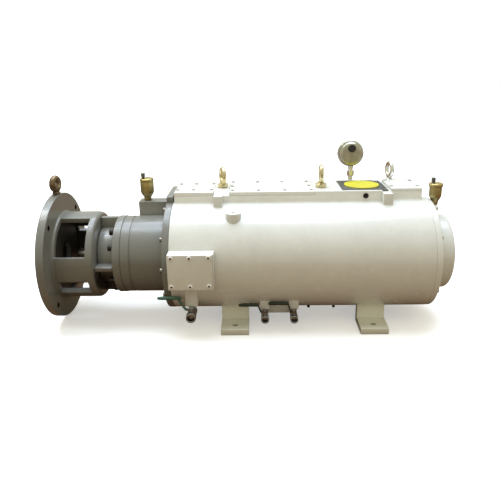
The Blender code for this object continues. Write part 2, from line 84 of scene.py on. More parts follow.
SIDE_X, SIDE_Z, SIDE_Y = (-0.2579, -0.1175), (0.1765, 0.2925), 0.222
FOOT_W, FOOT_X, FOOT_T = 0.0917, (-0.0988, 0.3604), 0.0221
FOOT_Y0, FOOT_Y1, FOOT_WALL_Y = 0.0800, 0.1861, 0.1050
FOOT_HOLE_Y, FOOT_HOLE_R = 0.1530, 0.0095


# ================================================================ materials
class Mat:
    """A node material being built, with short helpers."""

    def __init__(self, name):
        self.m = bpy.data.materials.new(name)
        self.m.use_nodes = True
        self.t = self.m.node_tree
        self.s = self.t.nodes["Principled BSDF"]
        self.co = self.t.nodes.new("ShaderNodeTexCoord").outputs["Object"]

    def new(self, kind, **props):
        n = self.t.nodes.new(kind)
        for k, v in props.items():
            setattr(n, k, v)
        return n

    def link(self, a, b):
        self.t.links.new(a, b)

    def scaled(self, scale):
        n = self.new("ShaderNodeMapping")
        n.inputs["Scale"].default_value = scale if hasattr(scale, "__len__") else (scale,) * 3
        self.link(self.co, n.inputs["Vector"])
        return n.outputs["Vector"]

    def noise(self, scale, detail=3.0, rough=0.55, stretch=(1, 1, 1), distort=0.0):
        n = self.new("ShaderNodeTexNoise")
        n.inputs["Scale"].default_value = scale
        n.inputs["Detail"].default_value = detail
        n.inputs["Roughness"].default_value = rough
        n.inputs["Distortion"].default_value = distort
        self.link(self.scaled(stretch), n.inputs["Vector"])
        return n.outputs["Fac"]

    def voronoi(self, scale, feature="F1"):
        n = self.new("ShaderNodeTexVoronoi", feature=feature)
        n.inputs["Scale"].default_value = scale
        self.link(self.co, n.inputs["Vector"])
        return n

    def ramp(self, fac, stops, colour=False):
        n = self.new("ShaderNodeValToRGB")
        e = n.color_ramp.elements
        while len(e) < len(stops):
            e.new(0.5)
        for el, (p, c) in zip(e, stops):
            el.position = p
            el.color = (*c, 1.0) if colour else (c, c, c, 1.0)
        self.link(fac, n.inputs["Fac"])
        return n.outputs["Color"]

    def mix(self, fac, a, b, blend="MIX"):
        n = self.new("ShaderNodeMix", data_type="RGBA", blend_type=blend)
        for sock, v in ((n.inputs[0], fac), (n.inputs[6], a), (n.inputs[7], b)):
            if hasattr(v, "links"):
                self.link(v, sock)
            elif hasattr(v, "__len__"):
                sock.default_value = (*v, 1.0)
            else:
                sock.default_value = v
        return n.outputs[2]

    def math(self, op, a, b=0.0, c=0.0, clamp=False):
        n = self.new("ShaderNodeMath", operation=op, use_clamp=clamp)
        for sock, v in zip(n.inputs, (a, b, c)):
            if hasattr(v, "links"):
                self.link(v, sock)
            else:
                sock.default_value = v
        return n.outputs[0]

    def bump(self, height, strength, distance, onto=None):
        n = self.new("ShaderNodeBump")
        n.inputs["Strength"].default_value = strength
        n.inputs["Distance"].default_value = distance
        self.link(height, n.inputs["Height"])
        if onto is not None:
            self.link(onto, n.inputs["Normal"])
        return n.outputs["Normal"]

    def occlusion(self, distance):
        n = self.new("ShaderNodeAmbientOcclusion", samples=6)
        n.inputs["Distance"].default_value = distance
        return n.outputs["AO"]

    def edges(self):
        return self.new("ShaderNodeNewGeometry").outputs["Pointiness"]

    def up(self):
        n = self.new("ShaderNodeSeparateXYZ")
        self.link(self.new("ShaderNodeNewGeometry").outputs["Normal"], n.inputs[0])
        return n.outputs["Z"]

    def set(self, **kw):
        for k, v in kw.items():
            sock = self.s.inputs[k.replace("_", " ")]
            if hasattr(v, "links"):
                self.link(v, sock)
            elif hasattr(v, "__len__"):
                sock.default_value = (*v, 1.0) if len(v) == 3 else v
            else:
                sock.default_value = v
        return self.m


def paint(name, colour, rough=0.30, orange=0.12, grime_and_shade=(0.30, 0.26, 0.20), corner_shade_amt=0.35, chip=None, coat=0.0, cast=0.0, low=None):
    """Sprayed enamel: orange peel, faint drift in tone, painted shade in the corners, worn arrises.

    low is (z0, z1, colour): painted shade that darkens everything under z1, wholly so under z0.
    """
    k = Mat(name)
    drift = k.ramp(k.noise(3.2, 4), ((0.30, tuple(c * 0.95 for c in colour)), (0.70, tuple(min(1, c * 1.03) for c in colour))), True)
    mottle = k.ramp(k.noise(34, 5, 0.6), ((0.35, 0.955), (0.65, 1.0)))
    base = k.mix(1.0, drift, mottle, "MULTIPLY")
    # thin runs of dirt that follow gravity
    streak = k.ramp(k.noise(26, 4, 0.6, (1, 1, 0.10)), ((0.54, 0.0), (0.80, 1.0)))
    base = k.mix(k.math("MULTIPLY", streak, 0.10), base, grime_and_shade)
    # darker in the corners by an occlusion mask, broken up by noise: painted shade
    corner_shade = k.ramp(k.occlusion(0.022), ((0.30, 1.0), (0.92, 0.0)))
    blotch = k.ramp(k.noise(60, 6, 0.65), ((0.35, 0.25), (0.65, 1.0)))
    fac = k.math("MULTIPLY", k.math("MULTIPLY", corner_shade, blotch), corner_shade_amt)
    base = k.mix(fac, base, grime_and_shade)
    if low:
        split = k.new("ShaderNodeSeparateXYZ")
        k.link(k.co, split.inputs[0])
        z = k.math("ADD", split.outputs["Z"], k.math("MULTIPLY", k.math("SUBTRACT", k.noise(45, 4, 0.6), 0.5), 0.03))
        # painted shade: darker towards the bottom
        low_shade = k.math("DIVIDE", k.math("SUBTRACT", low[1], z), low[1] - low[0], clamp=True)
        base = k.mix(k.math("MULTIPLY", low_shade, 0.9), base, low[2])
    r = k.math("ADD", k.math("MULTIPLY", k.noise(14, 5, 0.6), 0.10), rough - 0.05)
    r = k.math("ADD", r, k.math("MULTIPLY", fac, 0.35))
    if chip:
        wear = k.ramp(k.math("ADD", k.edges(), k.math("MULTIPLY", k.noise(210, 4, 0.7), 0.035)), ((0.555, 0.0), (0.580, 1.0)))
        base = k.mix(k.math("MULTIPLY", wear, 0.6), base, chip)
        r = k.math("ADD", r, k.math("MULTIPLY", wear, 0.1))
    n = k.bump(k.noise(520, 2, 0.5), orange, 0.00025)
    if cast:
        n = k.bump(k.noise(70, 5, 0.6), cast, 0.0012, n)
    return k.set(Base_Color=base, Roughness=r, Normal=n, Coat_Weight=coat, Coat_Roughness=0.10, IOR=1.5)


def metal(name, colour, rough=0.35, dark=(0.08, 0.07, 0.05), dark_amt=0.5, brush=None, fine=300.0, tint=None, bump=0.10):
    """Bare or plated metal with painted shade in the corners and fine machining or forge marks."""
    k = Mat(name)
    a = tuple(c * 0.86 for c in colour)
    b = tuple(min(1, c * 1.12) for c in colour)
    base = k.ramp(k.noise(42, 5, 0.6), ((0.32, a), (0.70, b)), True)
    if tint:
        base = k.mix(k.ramp(k.noise(18, 4, 0.6, distort=0.6), ((0.42, 0.0), (0.66, 0.75))), base, tint)
    # darker in the corners by an occlusion mask: painted shade
    corner_shade = k.ramp(k.occlusion(0.008), ((0.25, 1.0), (0.90, 0.0)))
    fac = k.math("MULTIPLY", k.math("MULTIPLY", corner_shade, k.ramp(k.noise(120, 4), ((0.3, 0.4), (0.7, 1.0)))), dark_amt)
    base = k.mix(fac, base, dark)
    marks = k.noise(fine, 3, 0.6, brush or (1, 1, 1))
    r = k.math("ADD", k.math("MULTIPLY", marks, 0.22), rough - 0.10)
    r = k.math("ADD", r, k.math("MULTIPLY", fac, 0.25))
    return k.set(Base_Color=base, Metallic=1.0, Roughness=r, Normal=k.bump(marks, bump, 0.0003))


def plastic(name, colour, rough=0.45, bump=0.08, scale=420.0, scuff=(0.5, 0.5, 0.45), scuff_amt=0.10):
    k = Mat(name)
    base = k.ramp(k.noise(20, 4), ((0.3, tuple(c * 0.92 for c in colour)), (0.7, tuple(min(1, c * 1.05) for c in colour))), True)
    s = k.ramp(k.noise(150, 5, 0.7, (1, 0.2, 1)), ((0.60, 0.0), (0.72, 1.0)))
    base = k.mix(k.math("MULTIPLY", s, scuff_amt), base, scuff)
    r = k.math("ADD", k.math("MULTIPLY", k.noise(90, 4), 0.16), rough - 0.08)
    return k.set(Base_Color=base, Roughness=r, Normal=k.bump(k.noise(scale, 2), bump, 0.0003))


def speckled(name):
    """Dark gasket board with pale flecks and scuffs."""
    k = Mat(name)
    base = k.ramp(k.noise(26, 5, 0.6), ((0.3, (0.030, 0.030, 0.026)), (0.7, (0.085, 0.083, 0.070))), True)
    v = k.voronoi(260).outputs["Distance"]
    fleck = k.ramp(v, ((0.16, 1.0), (0.26, 0.0)))
    some = k.ramp(k.noise(95, 3), ((0.47, 0.0), (0.56, 1.0)))
    base = k.mix(k.math("MULTIPLY", k.math("MULTIPLY", fleck, some), 0.75), base, (0.42, 0.42, 0.37))
    dust = k.ramp(k.noise(12, 6, 0.7), ((0.50, 0.0), (0.72, 0.5)))
    base = k.mix(dust, base, (0.28, 0.27, 0.22))
    return k.set(Base_Color=base, Roughness=k.math("ADD", k.math("MULTIPLY", k.noise(60, 4), 0.3), 0.45), Normal=k.bump(k.noise(380, 4), 0.25, 0.0004))


WHITE = paint("casing_enamel", (0.800, 0.805, 0.775), 0.26, 0.10, (0.36, 0.31, 0.23), 0.42, coat=0.35)
WHITE_BOLT = paint("painted_bolt", (0.74, 0.75, 0.71), 0.30, 0.10, (0.22, 0.19, 0.14), 0.85, coat=0.2)
BRIGHT_BOLT = paint("bright_screw", (0.93, 0.93, 0.90), 0.25, 0.06, (0.16, 0.14, 0.11), 0.7, coat=0.3)
FOOT = paint("foot_enamel", (0.800, 0.800, 0.700), 0.34, 0.14, (0.30, 0.26, 0.19), 0.45, coat=0.15)
# a lighter copy of the casing enamel, for the deck's front wall and the top plates: painted light
WHITE_LIT = paint("casing_enamel_painted_light", (0.93, 0.935, 0.915), 0.26, 0.10, (0.45, 0.41, 0.33), 0.25, coat=0.35)
GREY = paint("grey_enamel", (0.207, 0.208, 0.192), 0.33, 0.16, (0.060, 0.052, 0.042), 0.55, chip=(0.45, 0.45, 0.42), coat=0.26, cast=0.22)
# grey enamel that darkens towards its bottom: painted shade
GREY_LOW_SHADE = paint("grey_enamel_low_shade", (0.222, 0.222, 0.205), 0.30, 0.16, (0.060, 0.052, 0.042), 0.55, coat=0.30, cast=0.30, low=(0.170, 0.225, (0.020, 0.017, 0.014)))
# near-black copy of the grey enamel for the inside of the cage: painted shade
GREY_SHADE_INSIDE = paint("grey_enamel_painted_shade", (0.050, 0.048, 0.043), 0.50, 0.2, (0.02, 0.018, 0.015), 0.7, cast=0.3)
STEEL = metal("turned_steel", (0.55, 0.55, 0.54), 0.30, brush=(0.15, 1, 1), fine=600)
PALE_STEEL = metal("bright_steel", (0.72, 0.72, 0.70), 0.30, dark_amt=0.35)
BLACK_BOLT = metal("black_oxide", (0.045, 0.044, 0.042), 0.42, (0.02, 0.02, 0.02), 0.6)
ZINC = metal("yellow_zinc_plate", (0.70, 0.60, 0.33), 0.33, (0.13, 0.11, 0.06), 0.6, tint=(0.60, 0.55, 0.40), bump=0.2)
BRONZE = metal("rusty_zinc_plate", (0.20, 0.145, 0.090), 0.42, (0.035, 0.025, 0.015), 0.85, tint=(0.40, 0.35, 0.27), bump=0.3)
PALE_ZINC = metal("pale_zinc_plate", (0.80, 0.80, 0.77), 0.30, (0.2, 0.2, 0.19), 0.5, bump=0.2)
BRASS = metal("dull_brass", (0.55, 0.45, 0.19), 0.34, (0.08, 0.07, 0.035), 0.7, brush=(1, 1, 6), fine=160, tint=(0.36, 0.33, 0.20))
NICKEL = metal("dull_nickel", (0.60, 0.67, 0.74), 0.26, (0.032, 0.032, 0.032), 0.95, tint=(0.34, 0.36, 0.38))
KNOB = metal("grey_knob", (0.20, 0.20, 0.19), 0.35, (0.05, 0.05, 0.045), 0.6)
BROWN_NUT = metal("brown_nut", (0.34, 0.23, 0.15), 0.38, (0.06, 0.04, 0.025), 0.8, tint=(0.20, 0.13, 0.08))
SCREW_GREY = metal("dull_screw", (0.34, 0.34, 0.32), 0.38, (0.05, 0.04, 0.03), 0.7, tint=(0.22, 0.17, 0.12))
GAUGE_STEEL = metal("gauge_pressing", (0.56, 0.56, 0.49), 0.32, (0.10, 0.10, 0.08), 0.5, tint=(0.38, 0.38, 0.31))
RUBBER = plastic("black_rubber", (0.018, 0.018, 0.018), 0.62)
TEAL = plastic("teal_vinyl", (0.052, 0.142, 0.094), 0.38, scuff=(0.24, 0.32, 0.27), scuff_amt=0.3)
DARK_VINYL = plastic("dark_green_vinyl", (0.010, 0.026, 0.014), 0.40, scuff=(0.16, 0.18, 0.15), scuff_amt=0.15)
YELLOW = plastic("yellow_cap", (0.640, 0.585, 0.018), 0.46, scuff=(0.8, 0.78, 0.42), scuff_amt=0.12)
BOARD = speckled("speckled_board")


# ================================================================ mesh tools
def obj_from(bm, name="tmp", merge=1e-6):
    bmesh.ops.remove_doubles(bm, verts=bm.verts, dist=merge)
    bmesh.ops.recalc_face_normals(bm, faces=bm.faces)
    me = bpy.data.meshes.new(name)
    bm.to_mesh(me)
    bm.free()
    ob = bpy.data.objects.new(name, me)
    bpy.context.scene.collection.objects.link(ob)
    return ob


def turn(a, u, v, axis):
    return {"X": (a, u, v), "Y": (v, a, u), "Z": (u, v, a)}[axis]


def soft(points, n=4):
    """Round the corners of a polyline of (a, b) or (a, b, radius)."""
    out = []
    m = len(points)
    for i, p in enumerate(points):
        if len(p) < 3 or p[2] <= 0 or i in (0, m - 1):
            out.append((p[0], p[1]))
            continue
        q = Vector(p[:2])
        a, b = Vector(points[i - 1][:2]) - q, Vector(points[i + 1][:2]) - q
        la, lb = a.length, b.length
        a.normalize()
        b.normalize()
        half = a.angle(b) / 2
        if half < 0.05 or half > 1.55:
            out.append((p[0], p[1]))
            continue
        d = min(p[2] / math.tan(half), la * 0.49, lb * 0.49)
        r = d * math.tan(half)
        c = q + (a + b).normalized() * (r / math.sin(half))
        t0, t1 = q + a * d - c, q + b * d - c
        ang = t0.angle_signed(t1)
        for k in range(n + 1):
            f = -ang * k / n
            out.append((c.x + t0.x * math.cos(f) - t0.y * math.sin(f), c.y + t0.x * math.sin(f) + t0.y * math.cos(f)))
    return out


def lathe(profile, segs=64, axis="X", at=(0, 0, 0), closed=False, phase=0.0):
    bm = bmesh.new()
    at = Vector(at)
    rings = []
    for a, r in profile:
        if r < 1e-9:
            rings.append([bm.verts.new(Vector(turn(a, 0, 0, axis)) + at)])
        else:
            rings.append([bm.verts.new(Vector(turn(a, r * math.cos(2 * math.pi * (i + phase) / segs), r * math.sin(2 * math.pi * (i + phase) / segs), axis)) + at)
                          for i in range(segs)])
    pairs = list(zip(rings, rings[1:])) + ([(rings[-1], rings[0])] if closed else [])
    for p, q in pairs:
        for i in range(segs):
            j = (i + 1) % segs
            if len(p) == 1 and len(q) == 1:
                continue
            if len(p) == 1:
                bm.faces.new((p[0], q[i], q[j]))
            elif len(q) == 1:
                bm.faces.new((p[i], p[j], q[0]))
            else:
                bm.faces.new((p[i], p[j], q[j], q[i]))
    if not closed:
        for ring in (rings[0], rings[-1]):
            if len(ring) > 1:
                bm.faces.new(ring)
    return obj_from(bm)


def rod(a0, a1, r, segs=32, axis="X", at=(0, 0, 0), edge=0.0, phase=0.0):
    pts = [(a0, 0), (a0, r, edge), (a1, r, edge), (a1, 0)]
    if not edge:
        return lathe([(a0, r), (a1, r)], segs, axis, at, phase=phase)
    return lathe(soft(pts, 3), segs, axis, at, phase=phase)


def box(x0, x1, y0, y1, z0, z1, bevel=0.0, steps=3, only=None):
    """Block with rounded edges; only picks edges by a test on their two ends."""
    bm = bmesh.new()
    bmesh.ops.create_cube(bm, size=1.0)
    for v in bm.verts:
        v.co = Vector(((x0 + x1) / 2 + v.co.x * (x1 - x0), (y0 + y1) / 2 + v.co.y * (y1 - y0), (z0 + z1) / 2 + v.co.z * (z1 - z0)))
    if bevel:
        pick = [e for e in bm.edges if only is None or only(e.verts[0].co, e.verts[1].co)]
        bmesh.ops.bevel(bm, geom=pick, offset=bevel, segments=steps, affect="EDGES", profile=0.5)
    return obj_from(bm)


def prism(outline, a0, a1, axis="X", bevel=0.0, steps=3):
    bm = bmesh.new()
    ends = [[bm.verts.new(turn(a, u, v, axis)) for u, v in outline] for a in (a0, a1)]
    n = len(outline)
    for i in range(n):
        j = (i + 1) % n
        bm.faces.new((ends[0][i], ends[0][j], ends[1][j], ends[1][i]))
    caps = [bm.faces.new(ends[0]), bm.faces.new(ends[1])]
    if bevel:
        bmesh.ops.bevel(bm, geom=[e for f in caps for e in f.edges], offset=bevel, segments=steps, affect="EDGES", profile=0.5)
    return obj_from(bm)


def sections(stations):
    """Loft rings of equal point counts; points that don't move between two stations share a face edge."""
    bm = bmesh.new()
    rings = [[bm.verts.new(p) for p in ring] for ring in stations]
    n = len(stations[0])
    for p, q in zip(rings, rings[1:]):
        for i in range(n):
            j = (i + 1) % n
            same_i, same_j = (p[i].co - q[i].co).length < 1e-6, (p[j].co - q[j].co).length < 1e-6
            if same_i and same_j:
                continue
            if same_i:
                bm.faces.new((p[i], p[j], q[j]))
            elif same_j:
                bm.faces.new((p[i], p[j], q[i]))
            else:
                bm.faces.new((p[i], p[j], q[j], q[i]))
    bm.faces.new(rings[0])
    bm.faces.new(rings[-1])
    return obj_from(bm)


def tube(path, radii, sides=20, flat=None):
    """Tube along points; radii per point; flat is a factor that squashes its section."""
    pts = [Vector(p) for p in path]
    bm = bmesh.new()
    rings = []
    t0 = (pts[1] - pts[0]).normalized()
    ref = Vector((0, 0, 1)) if abs(t0.z) < 0.9 else Vector((0, 1, 0))
    n = (ref - t0 * ref.dot(t0)).normalized()
    for i, p in enumerate(pts):
        t = (pts[min(i + 1, len(pts) - 1)] - pts[max(i - 1, 0)]).normalized()
        n = (n - t * n.dot(t)).normalized()
        b = t.cross(n)
        r = radii[i] if hasattr(radii, "__len__") else radii
        rings.append([bm.verts.new(p + (n * math.cos(2 * math.pi * k / sides) * (flat if flat else 1.0) + b * math.sin(2 * math.pi * k / sides)) * r) for k in range(sides)])
    for p, q in zip(rings, rings[1:]):
        for k in range(sides):
            m = (k + 1) % sides
            bm.faces.new((p[k], p[m], q[m], q[k]))
    bm.faces.new(rings[0])
    bm.faces.new(rings[-1])
    return obj_from(bm)


def spline(points, n=8):
    """Catmull-Rom curve through points."""
    pts = [Vector(p) for p in points]
    pts = [pts[0] * 2 - pts[1]] + pts + [pts[-1] * 2 - pts[-2]]
    out = []
    for i in range(1, len(pts) - 2):
        p0, p1, p2, p3 = pts[i - 1:i + 3]
        for k in range(n):
            t = k / n
            out.append(0.5 * ((2 * p1) + (p2 - p0) * t + (2 * p0 - 5 * p1 + 4 * p2 - p3) * t * t + (3 * p1 - p0 - 3 * p2 + p3) * t ** 3))
    out.append(pts[-2])
    return out


def move(ob, matrix):
    ob.data.transform(matrix)
    ob.data.update()
    return ob


def frame_to(at, axis, spin=0.0):
    """Matrix that takes local +Z to axis at a place."""
    z = Vector(axis).normalized()
    return Matrix.Translation(Vector(at)) @ z.to_track_quat("Z", "Y").to_matrix().to_4x4() @ Matrix.Rotation(spin, 4, "Z")


def merged(objs, name="tmp"):
    """One object that holds several closed bodies side by side."""
    bm = bmesh.new()
    for o in objs:
        bm.from_mesh(o.data)
    me = bpy.data.meshes.new(name)
    bm.to_mesh(me)
    bm.free()
    for o in objs:
        bpy.data.objects.remove(o, do_unlink=True)
    ob = bpy.data.objects.new(name, me)
    bpy.context.scene.collection.objects.link(ob)
    return ob


def boolean(target, tool, op):
    mod = target.modifiers.new("shape", "BOOLEAN")
    mod.operation, mod.solver, mod.object = op, "EXACT", tool
    bpy.context.view_layer.update()
    me = bpy.data.meshes.new_from_object(target.evaluated_get(bpy.context.evaluated_depsgraph_get()))
    target.modifiers.remove(mod)
    target.data = me
    bpy.data.objects.remove(tool, do_unlink=True)
    return target


def join(target, *tools):
    for t in tools:
        boolean(target, t, "UNION")
    return target


def cut(target, *tools):
    for t in tools:
        boolean(target, t, "DIFFERENCE")
    return target


def apply(ob, kind, **props):
    mod = ob.modifiers.new("m", kind)
    for k, v in props.items():
        setattr(mod, k, v)
    bpy.context.view_layer.update()
    me = bpy.data.meshes.new_from_object(ob.evaluated_get(bpy.context.evaluated_depsgraph_get()))
    ob.modifiers.remove(mod)
    ob.data = me
    return ob


def done(name, ob, mat, body="pump", node=None, sharp=32.0):
    """Name a finished piece, give it its finish and hang it on its body."""
    me = ob.data
    bm = bmesh.new()
    bm.from_mesh(me)
    bmesh.ops.remove_doubles(bm, verts=bm.verts, dist=2e-6)
    bmesh.ops.dissolve_degenerate(bm, edges=bm.edges, dist=1e-6)
    bm.to_mesh(me)
    bm.free()
    me.name = ob.name = name
    me.materials.clear()
    for m in (mat if isinstance(mat, (list, tuple)) else (mat,)):
        me.materials.append(m)
    me.shade_smooth()
    me.set_sharp_from_angle(angle=math.radians(sharp))
    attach(ob, body)
    if node:
        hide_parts(*((node,) if isinstance(node, str) else node))
    return ob


def polar(r, degrees):
    t = math.radians(degrees)
    return -r * math.cos(t), AXIS_Z + r * math.sin(t)


# ---------------------------------------------------------------- fasteners, built standing on z=0
def hex_head(af, h, n=36):
    """Hex head with its turned chamfer and washer face."""
    bm = bmesh.new()
    corner = af / 2 / math.cos(math.radians(30))

    def ring(scale_r, z):
        out = []
        for i in range(n):
            t = 2 * math.pi * i / n
            s = (t + math.radians(30)) % math.radians(60) - math.radians(30)
            r = af / 2 / math.cos(s) * scale_r
            out.append((r, t, z(r) if callable(z) else z))
        return [bm.verts.new((r * math.cos(t), r * math.sin(t), zz)) for r, t, zz in out]

    def circle(r, z):
        return [bm.verts.new((r * math.cos(2 * math.pi * i / n), r * math.sin(2 * math.pi * i / n), z)) for i in range(n)]

    ri = af / 2 * 0.94
    rings = [circle(af * 0.47, 0.0), circle(af * 0.47, h * 0.06), ring(1.0, h * 0.06), ring(1.0, lambda r: h - max(0.0, r - ri) * 0.55), circle(ri, h), circle(ri * 0.9, h)]
    for p, q in zip(rings, rings[1:]):
        for i in range(n):
            j = (i + 1) % n
            bm.faces.new((p[i], p[j], q[j], q[i]))
    bm.faces.new(rings[0])
    bm.faces.new(rings[-1])
    return obj_from(bm)


def cap_screw(r, h, key, n=36):
    """Socket head cap screw with its hex recess."""
    bm = bmesh.new()

    def circle(rr, z):
        return [bm.verts.new((rr * math.cos(2 * math.pi * i / n), rr * math.sin(2 * math.pi * i / n), z)) for i in range(n)]

    def hexring(af, z):
        out = []
        for i in range(n):
            t = 2 * math.pi * i / n
            s = (t + math.radians(30)) % math.radians(60) - math.radians(30)
            rr = af / 2 / math.cos(s)
            out.append(bm.verts.new((rr * math.cos(t), rr * math.sin(t), z)))
        return out

    e = r * 0.12
    rings = [circle(r, 0.0), circle(r, h - e), circle(r - e * 0.3, h - e * 0.3), circle(r - e, h), circle(key * 0.62, h), hexring(key, h - key * 0.06), hexring(key, h * 0.45)]
    for p, q in zip(rings, rings[1:]):
        for i in range(n):
            j = (i + 1) % n
            bm.faces.new((p[i], p[j], q[j], q[i]))
    bm.faces.new(rings[0])
    bm.faces.new(rings[-1])
    return obj_from(bm)


def washer(r0, r1, t, segs=32):
    return lathe([(0, r0), (0, r1), (t * 0.8, r1), (t, r1 - t * 0.25), (t, r0)], segs, "Z", closed=True)


def at_places(make, places):
    """One joined object from make() at each (point, axis, spin)."""
    out = []
    for p, ax, spin in places:
        out.append(move(make(), frame_to(p, ax, spin)))
    return merged(out)


# ================================================================ drive lantern
def build_lantern():
    """Disc, cage with its windows, and ring, as one casting: a quad cage under subdivision."""
    xs_disc = DISC_X1
    # angles: an even base, with loops either side of each window edge
    base = [i * 6.0 for i in range(60)]
    marks = []
    for a0, a1 in WINDOWS:
        marks += [(a0, -1), (a1, 1)]
    angles = set()
    for b in base:
        if all(abs((b - m + 180) % 360 - 180) > 3.1 for m, _ in marks):
            angles.add(round(b % 360, 3))
    for m, _ in marks:
        for d in (-1.5, 0.0, 1.5):
            angles.add(round((m + d) % 360, 3))
    angles = sorted(angles)

    def in_window(a):
        for a0, a1 in WINDOWS:
            if (a - a0) % 360 < (a1 - a0):
                return True
        return False

    # outer skin from the disc's face round to the ring's bore; window cells lie between OUT_A and OUT_B
    xw = [WINDOW_X0, WINDOW_X0 + 0.0035, -0.612, -0.587, -0.562, CAGE_X1 - 0.0035, CAGE_X1]
    outer = [(DISC_X0 + REGISTER_DEPTH, DISC_BORE_R + 0.001), (DISC_X0 + REGISTER_DEPTH, DISC_BORE_R + 0.004), (DISC_X0 + REGISTER_DEPTH, REGISTER_R - 0.003),
             (DISC_X0 + REGISTER_DEPTH, REGISTER_R - 0.0006), (DISC_X0 + REGISTER_DEPTH - 0.0006, REGISTER_R), (DISC_X0 + 0.0008, REGISTER_R), (DISC_X0, REGISTER_R + 0.0008),
             (DISC_X0, REGISTER_R + 0.004), (DISC_X0, DISC_R - 0.004), (DISC_X0, DISC_R - 0.0012), (DISC_X0 + 0.0012, DISC_R), (DISC_X0 + 0.004, DISC_R),
             (DISC_X1 - 0.004, DISC_R), (DISC_X1 - 0.0012, DISC_R), (DISC_X1, DISC_R - 0.0012), (DISC_X1, DISC_R - 0.004), (DISC_X1, CAGE_R + 0.009), (DISC_X1 + 0.0008, CAGE_R + 0.0035),
             (DISC_X1 + 0.0032, CAGE_R + 0.0006)]
    n0 = len(outer)
    outer += [(x, CAGE_R) for x in xw]
    n1 = len(outer) - 1
    outer += [(CAGE_X1 + 0.0040, CAGE_R), (RING_X1 - 0.0135, CAGE_R), (RING_X1 - 0.0090, CAGE_R - 0.0007), (RING_X1 - 0.0035, CAGE_R - 0.0034), (RING_X1 - 0.0007, CAGE_R - 0.0090),
              (RING_X1, CAGE_R - 0.0135), (RING_X1, CAGE_R - 0.0200), (RING_X1, RING_BORE_R + 0.005), (RING_X1, RING_BORE_R + 0.0010), (RING_X1 - 0.0010, RING_BORE_R), (RING_X1 - 0.005, RING_BORE_R), (CAGE_X1 + 0.004, RING_BORE_R),
              (CAGE_X1 + 0.0010, RING_BORE_R), (CAGE_X1, RING_BORE_R + 0.0010), (CAGE_X1, RING_BORE_R + 0.005), (CAGE_X1 - 0.0002, CAGE_RI - 0.004)]
    inner = [(x, CAGE_RI) for x in reversed(xw)]
    inner[0] = (CAGE_X1 - 0.0002, CAGE_RI - 0.0004)
    i0 = len(outer)
    outer += inner
    i1 = len(outer) - 1
    outer += [(DISC_X1 + 0.0030, CAGE_RI), (DISC_X1 + 0.0006, CAGE_RI - 0.0006), (DISC_X1, CAGE_RI - 0.004), (DISC_X1, DISC_BORE_R + 0.004), (DISC_X1, DISC_BORE_R + 0.001),
              (DISC_X1 - 0.001, DISC_BORE_R), (DISC_X1 - 0.004, DISC_BORE_R), (DISC_X0 + REGISTER_DEPTH + 0.003, DISC_BORE_R), (DISC_X0 + REGISTER_DEPTH + 0.001, DISC_BORE_R)]
    bm = bmesh.new()
    grid = []
    for x, r in outer:
        row = []
        for a in angles:
            y, z = polar(r, a)
            row.append(bm.verts.new((x, y, z)))
        grid.append(row)
    n, m = len(outer), len(angles)
    # window openings run over cells [n0, n1) of the outer skin and [i0, i1) of the inner one
    for i in range(n):
        k = (i + 1) % n
        for j in range(m):
            l = (j + 1) % m
            mid = angles[j] + ((angles[l] - angles[j]) % 360) / 2
            hole = in_window(mid) and (n0 <= i < n1 or i0 <= i < i1)
            if not hole:
                bm.faces.new((grid[i][j], grid[i][l], grid[k][l], grid[k][j]))
    # walls through the skin round each window, with a mid loop
    def inner_of(i):
        return i1 - (i - n0)

    def mid_vert(i, j, cache={}):
        key = (i, j)
        if key not in cache:
            cache[key] = bm.verts.new((grid[i][j].co + grid[inner_of(i)][j].co) / 2)
        return cache[key]

    for i in range(n0, n1):
        for j in range(m):
            l = (j + 1) % m
            midj = angles[j] + ((angles[l] - angles[j]) % 360) / 2
            if not in_window(midj):
                continue
            if i == n0:
                bm.faces.new((grid[i][j], grid[i][l], mid_vert(i, l), mid_vert(i, j)))
                bm.faces.new((mid_vert(i, j), mid_vert(i, l), grid[inner_of(i)][l], grid[inner_of(i)][j]))
            if i == n1 - 1:
                bm.faces.new((grid[i + 1][l], grid[i + 1][j], mid_vert(i + 1, j), mid_vert(i + 1, l)))
                bm.faces.new((mid_vert(i + 1, l), mid_vert(i + 1, j), grid[inner_of(i + 1)][j], grid[inner_of(i + 1)][l]))
            prev = angles[j] - ((angles[j] - angles[j - 1]) % 360) / 2
            if not in_window(prev):
                bm.faces.new((grid[i + 1][j], grid[i][j], mid_vert(i, j), mid_vert(i + 1, j)))
                bm.faces.new((mid_vert(i + 1, j), mid_vert(i, j), grid[inner_of(i)][j], grid[inner_of(i + 1)][j]))
            nxt = angles[l] + ((angles[(l + 1) % m] - angles[l]) % 360) / 2
            if not in_window(nxt):
                bm.faces.new((grid[i][l], grid[i + 1][l], mid_vert(i + 1, l), mid_vert(i, l)))
                bm.faces.new((mid_vert(i, l), mid_vert(i + 1, l), grid[inner_of(i + 1)][l], grid[inner_of(i)][l]))
    ob = obj_from(bm, merge=1e-7)
    # round the windows' corners in plan by subdividing the cage twice
    apply(ob, "SUBSURF", levels=2, render_levels=2)
    for k in (45, 135, 225, 315):
        y, z = polar(DISC_BOLT_R, k)
        cut(ob, lathe([(DISC_X0 - 0.01, DISC_HOLE_R), (DISC_X1 + 0.01, DISC_HOLE_R)], 32, "X", (0, y, z)))
    return ob


lantern = done("lantern_casting", build_lantern(), (GREY, GREY_SHADE_INSIDE, GREY_LOW_SHADE), node="drive_lantern", sharp=40)
# painted shade: the inside of the cage and the disc's inner face within it get a near-black copy of the grey, the
# ring's face one that darkens towards its bottom
for face in lantern.data.polygons:
    c = face.center - C
    if DISC_X1 - 0.004 < face.center.x < RING_X1 - 0.012 and math.hypot(c.y, c.z) < CAGE_RI + 0.0035:
        face.material_index = 1
    elif face.center.x > RING_X1 - 0.0015:
        face.material_index = 2
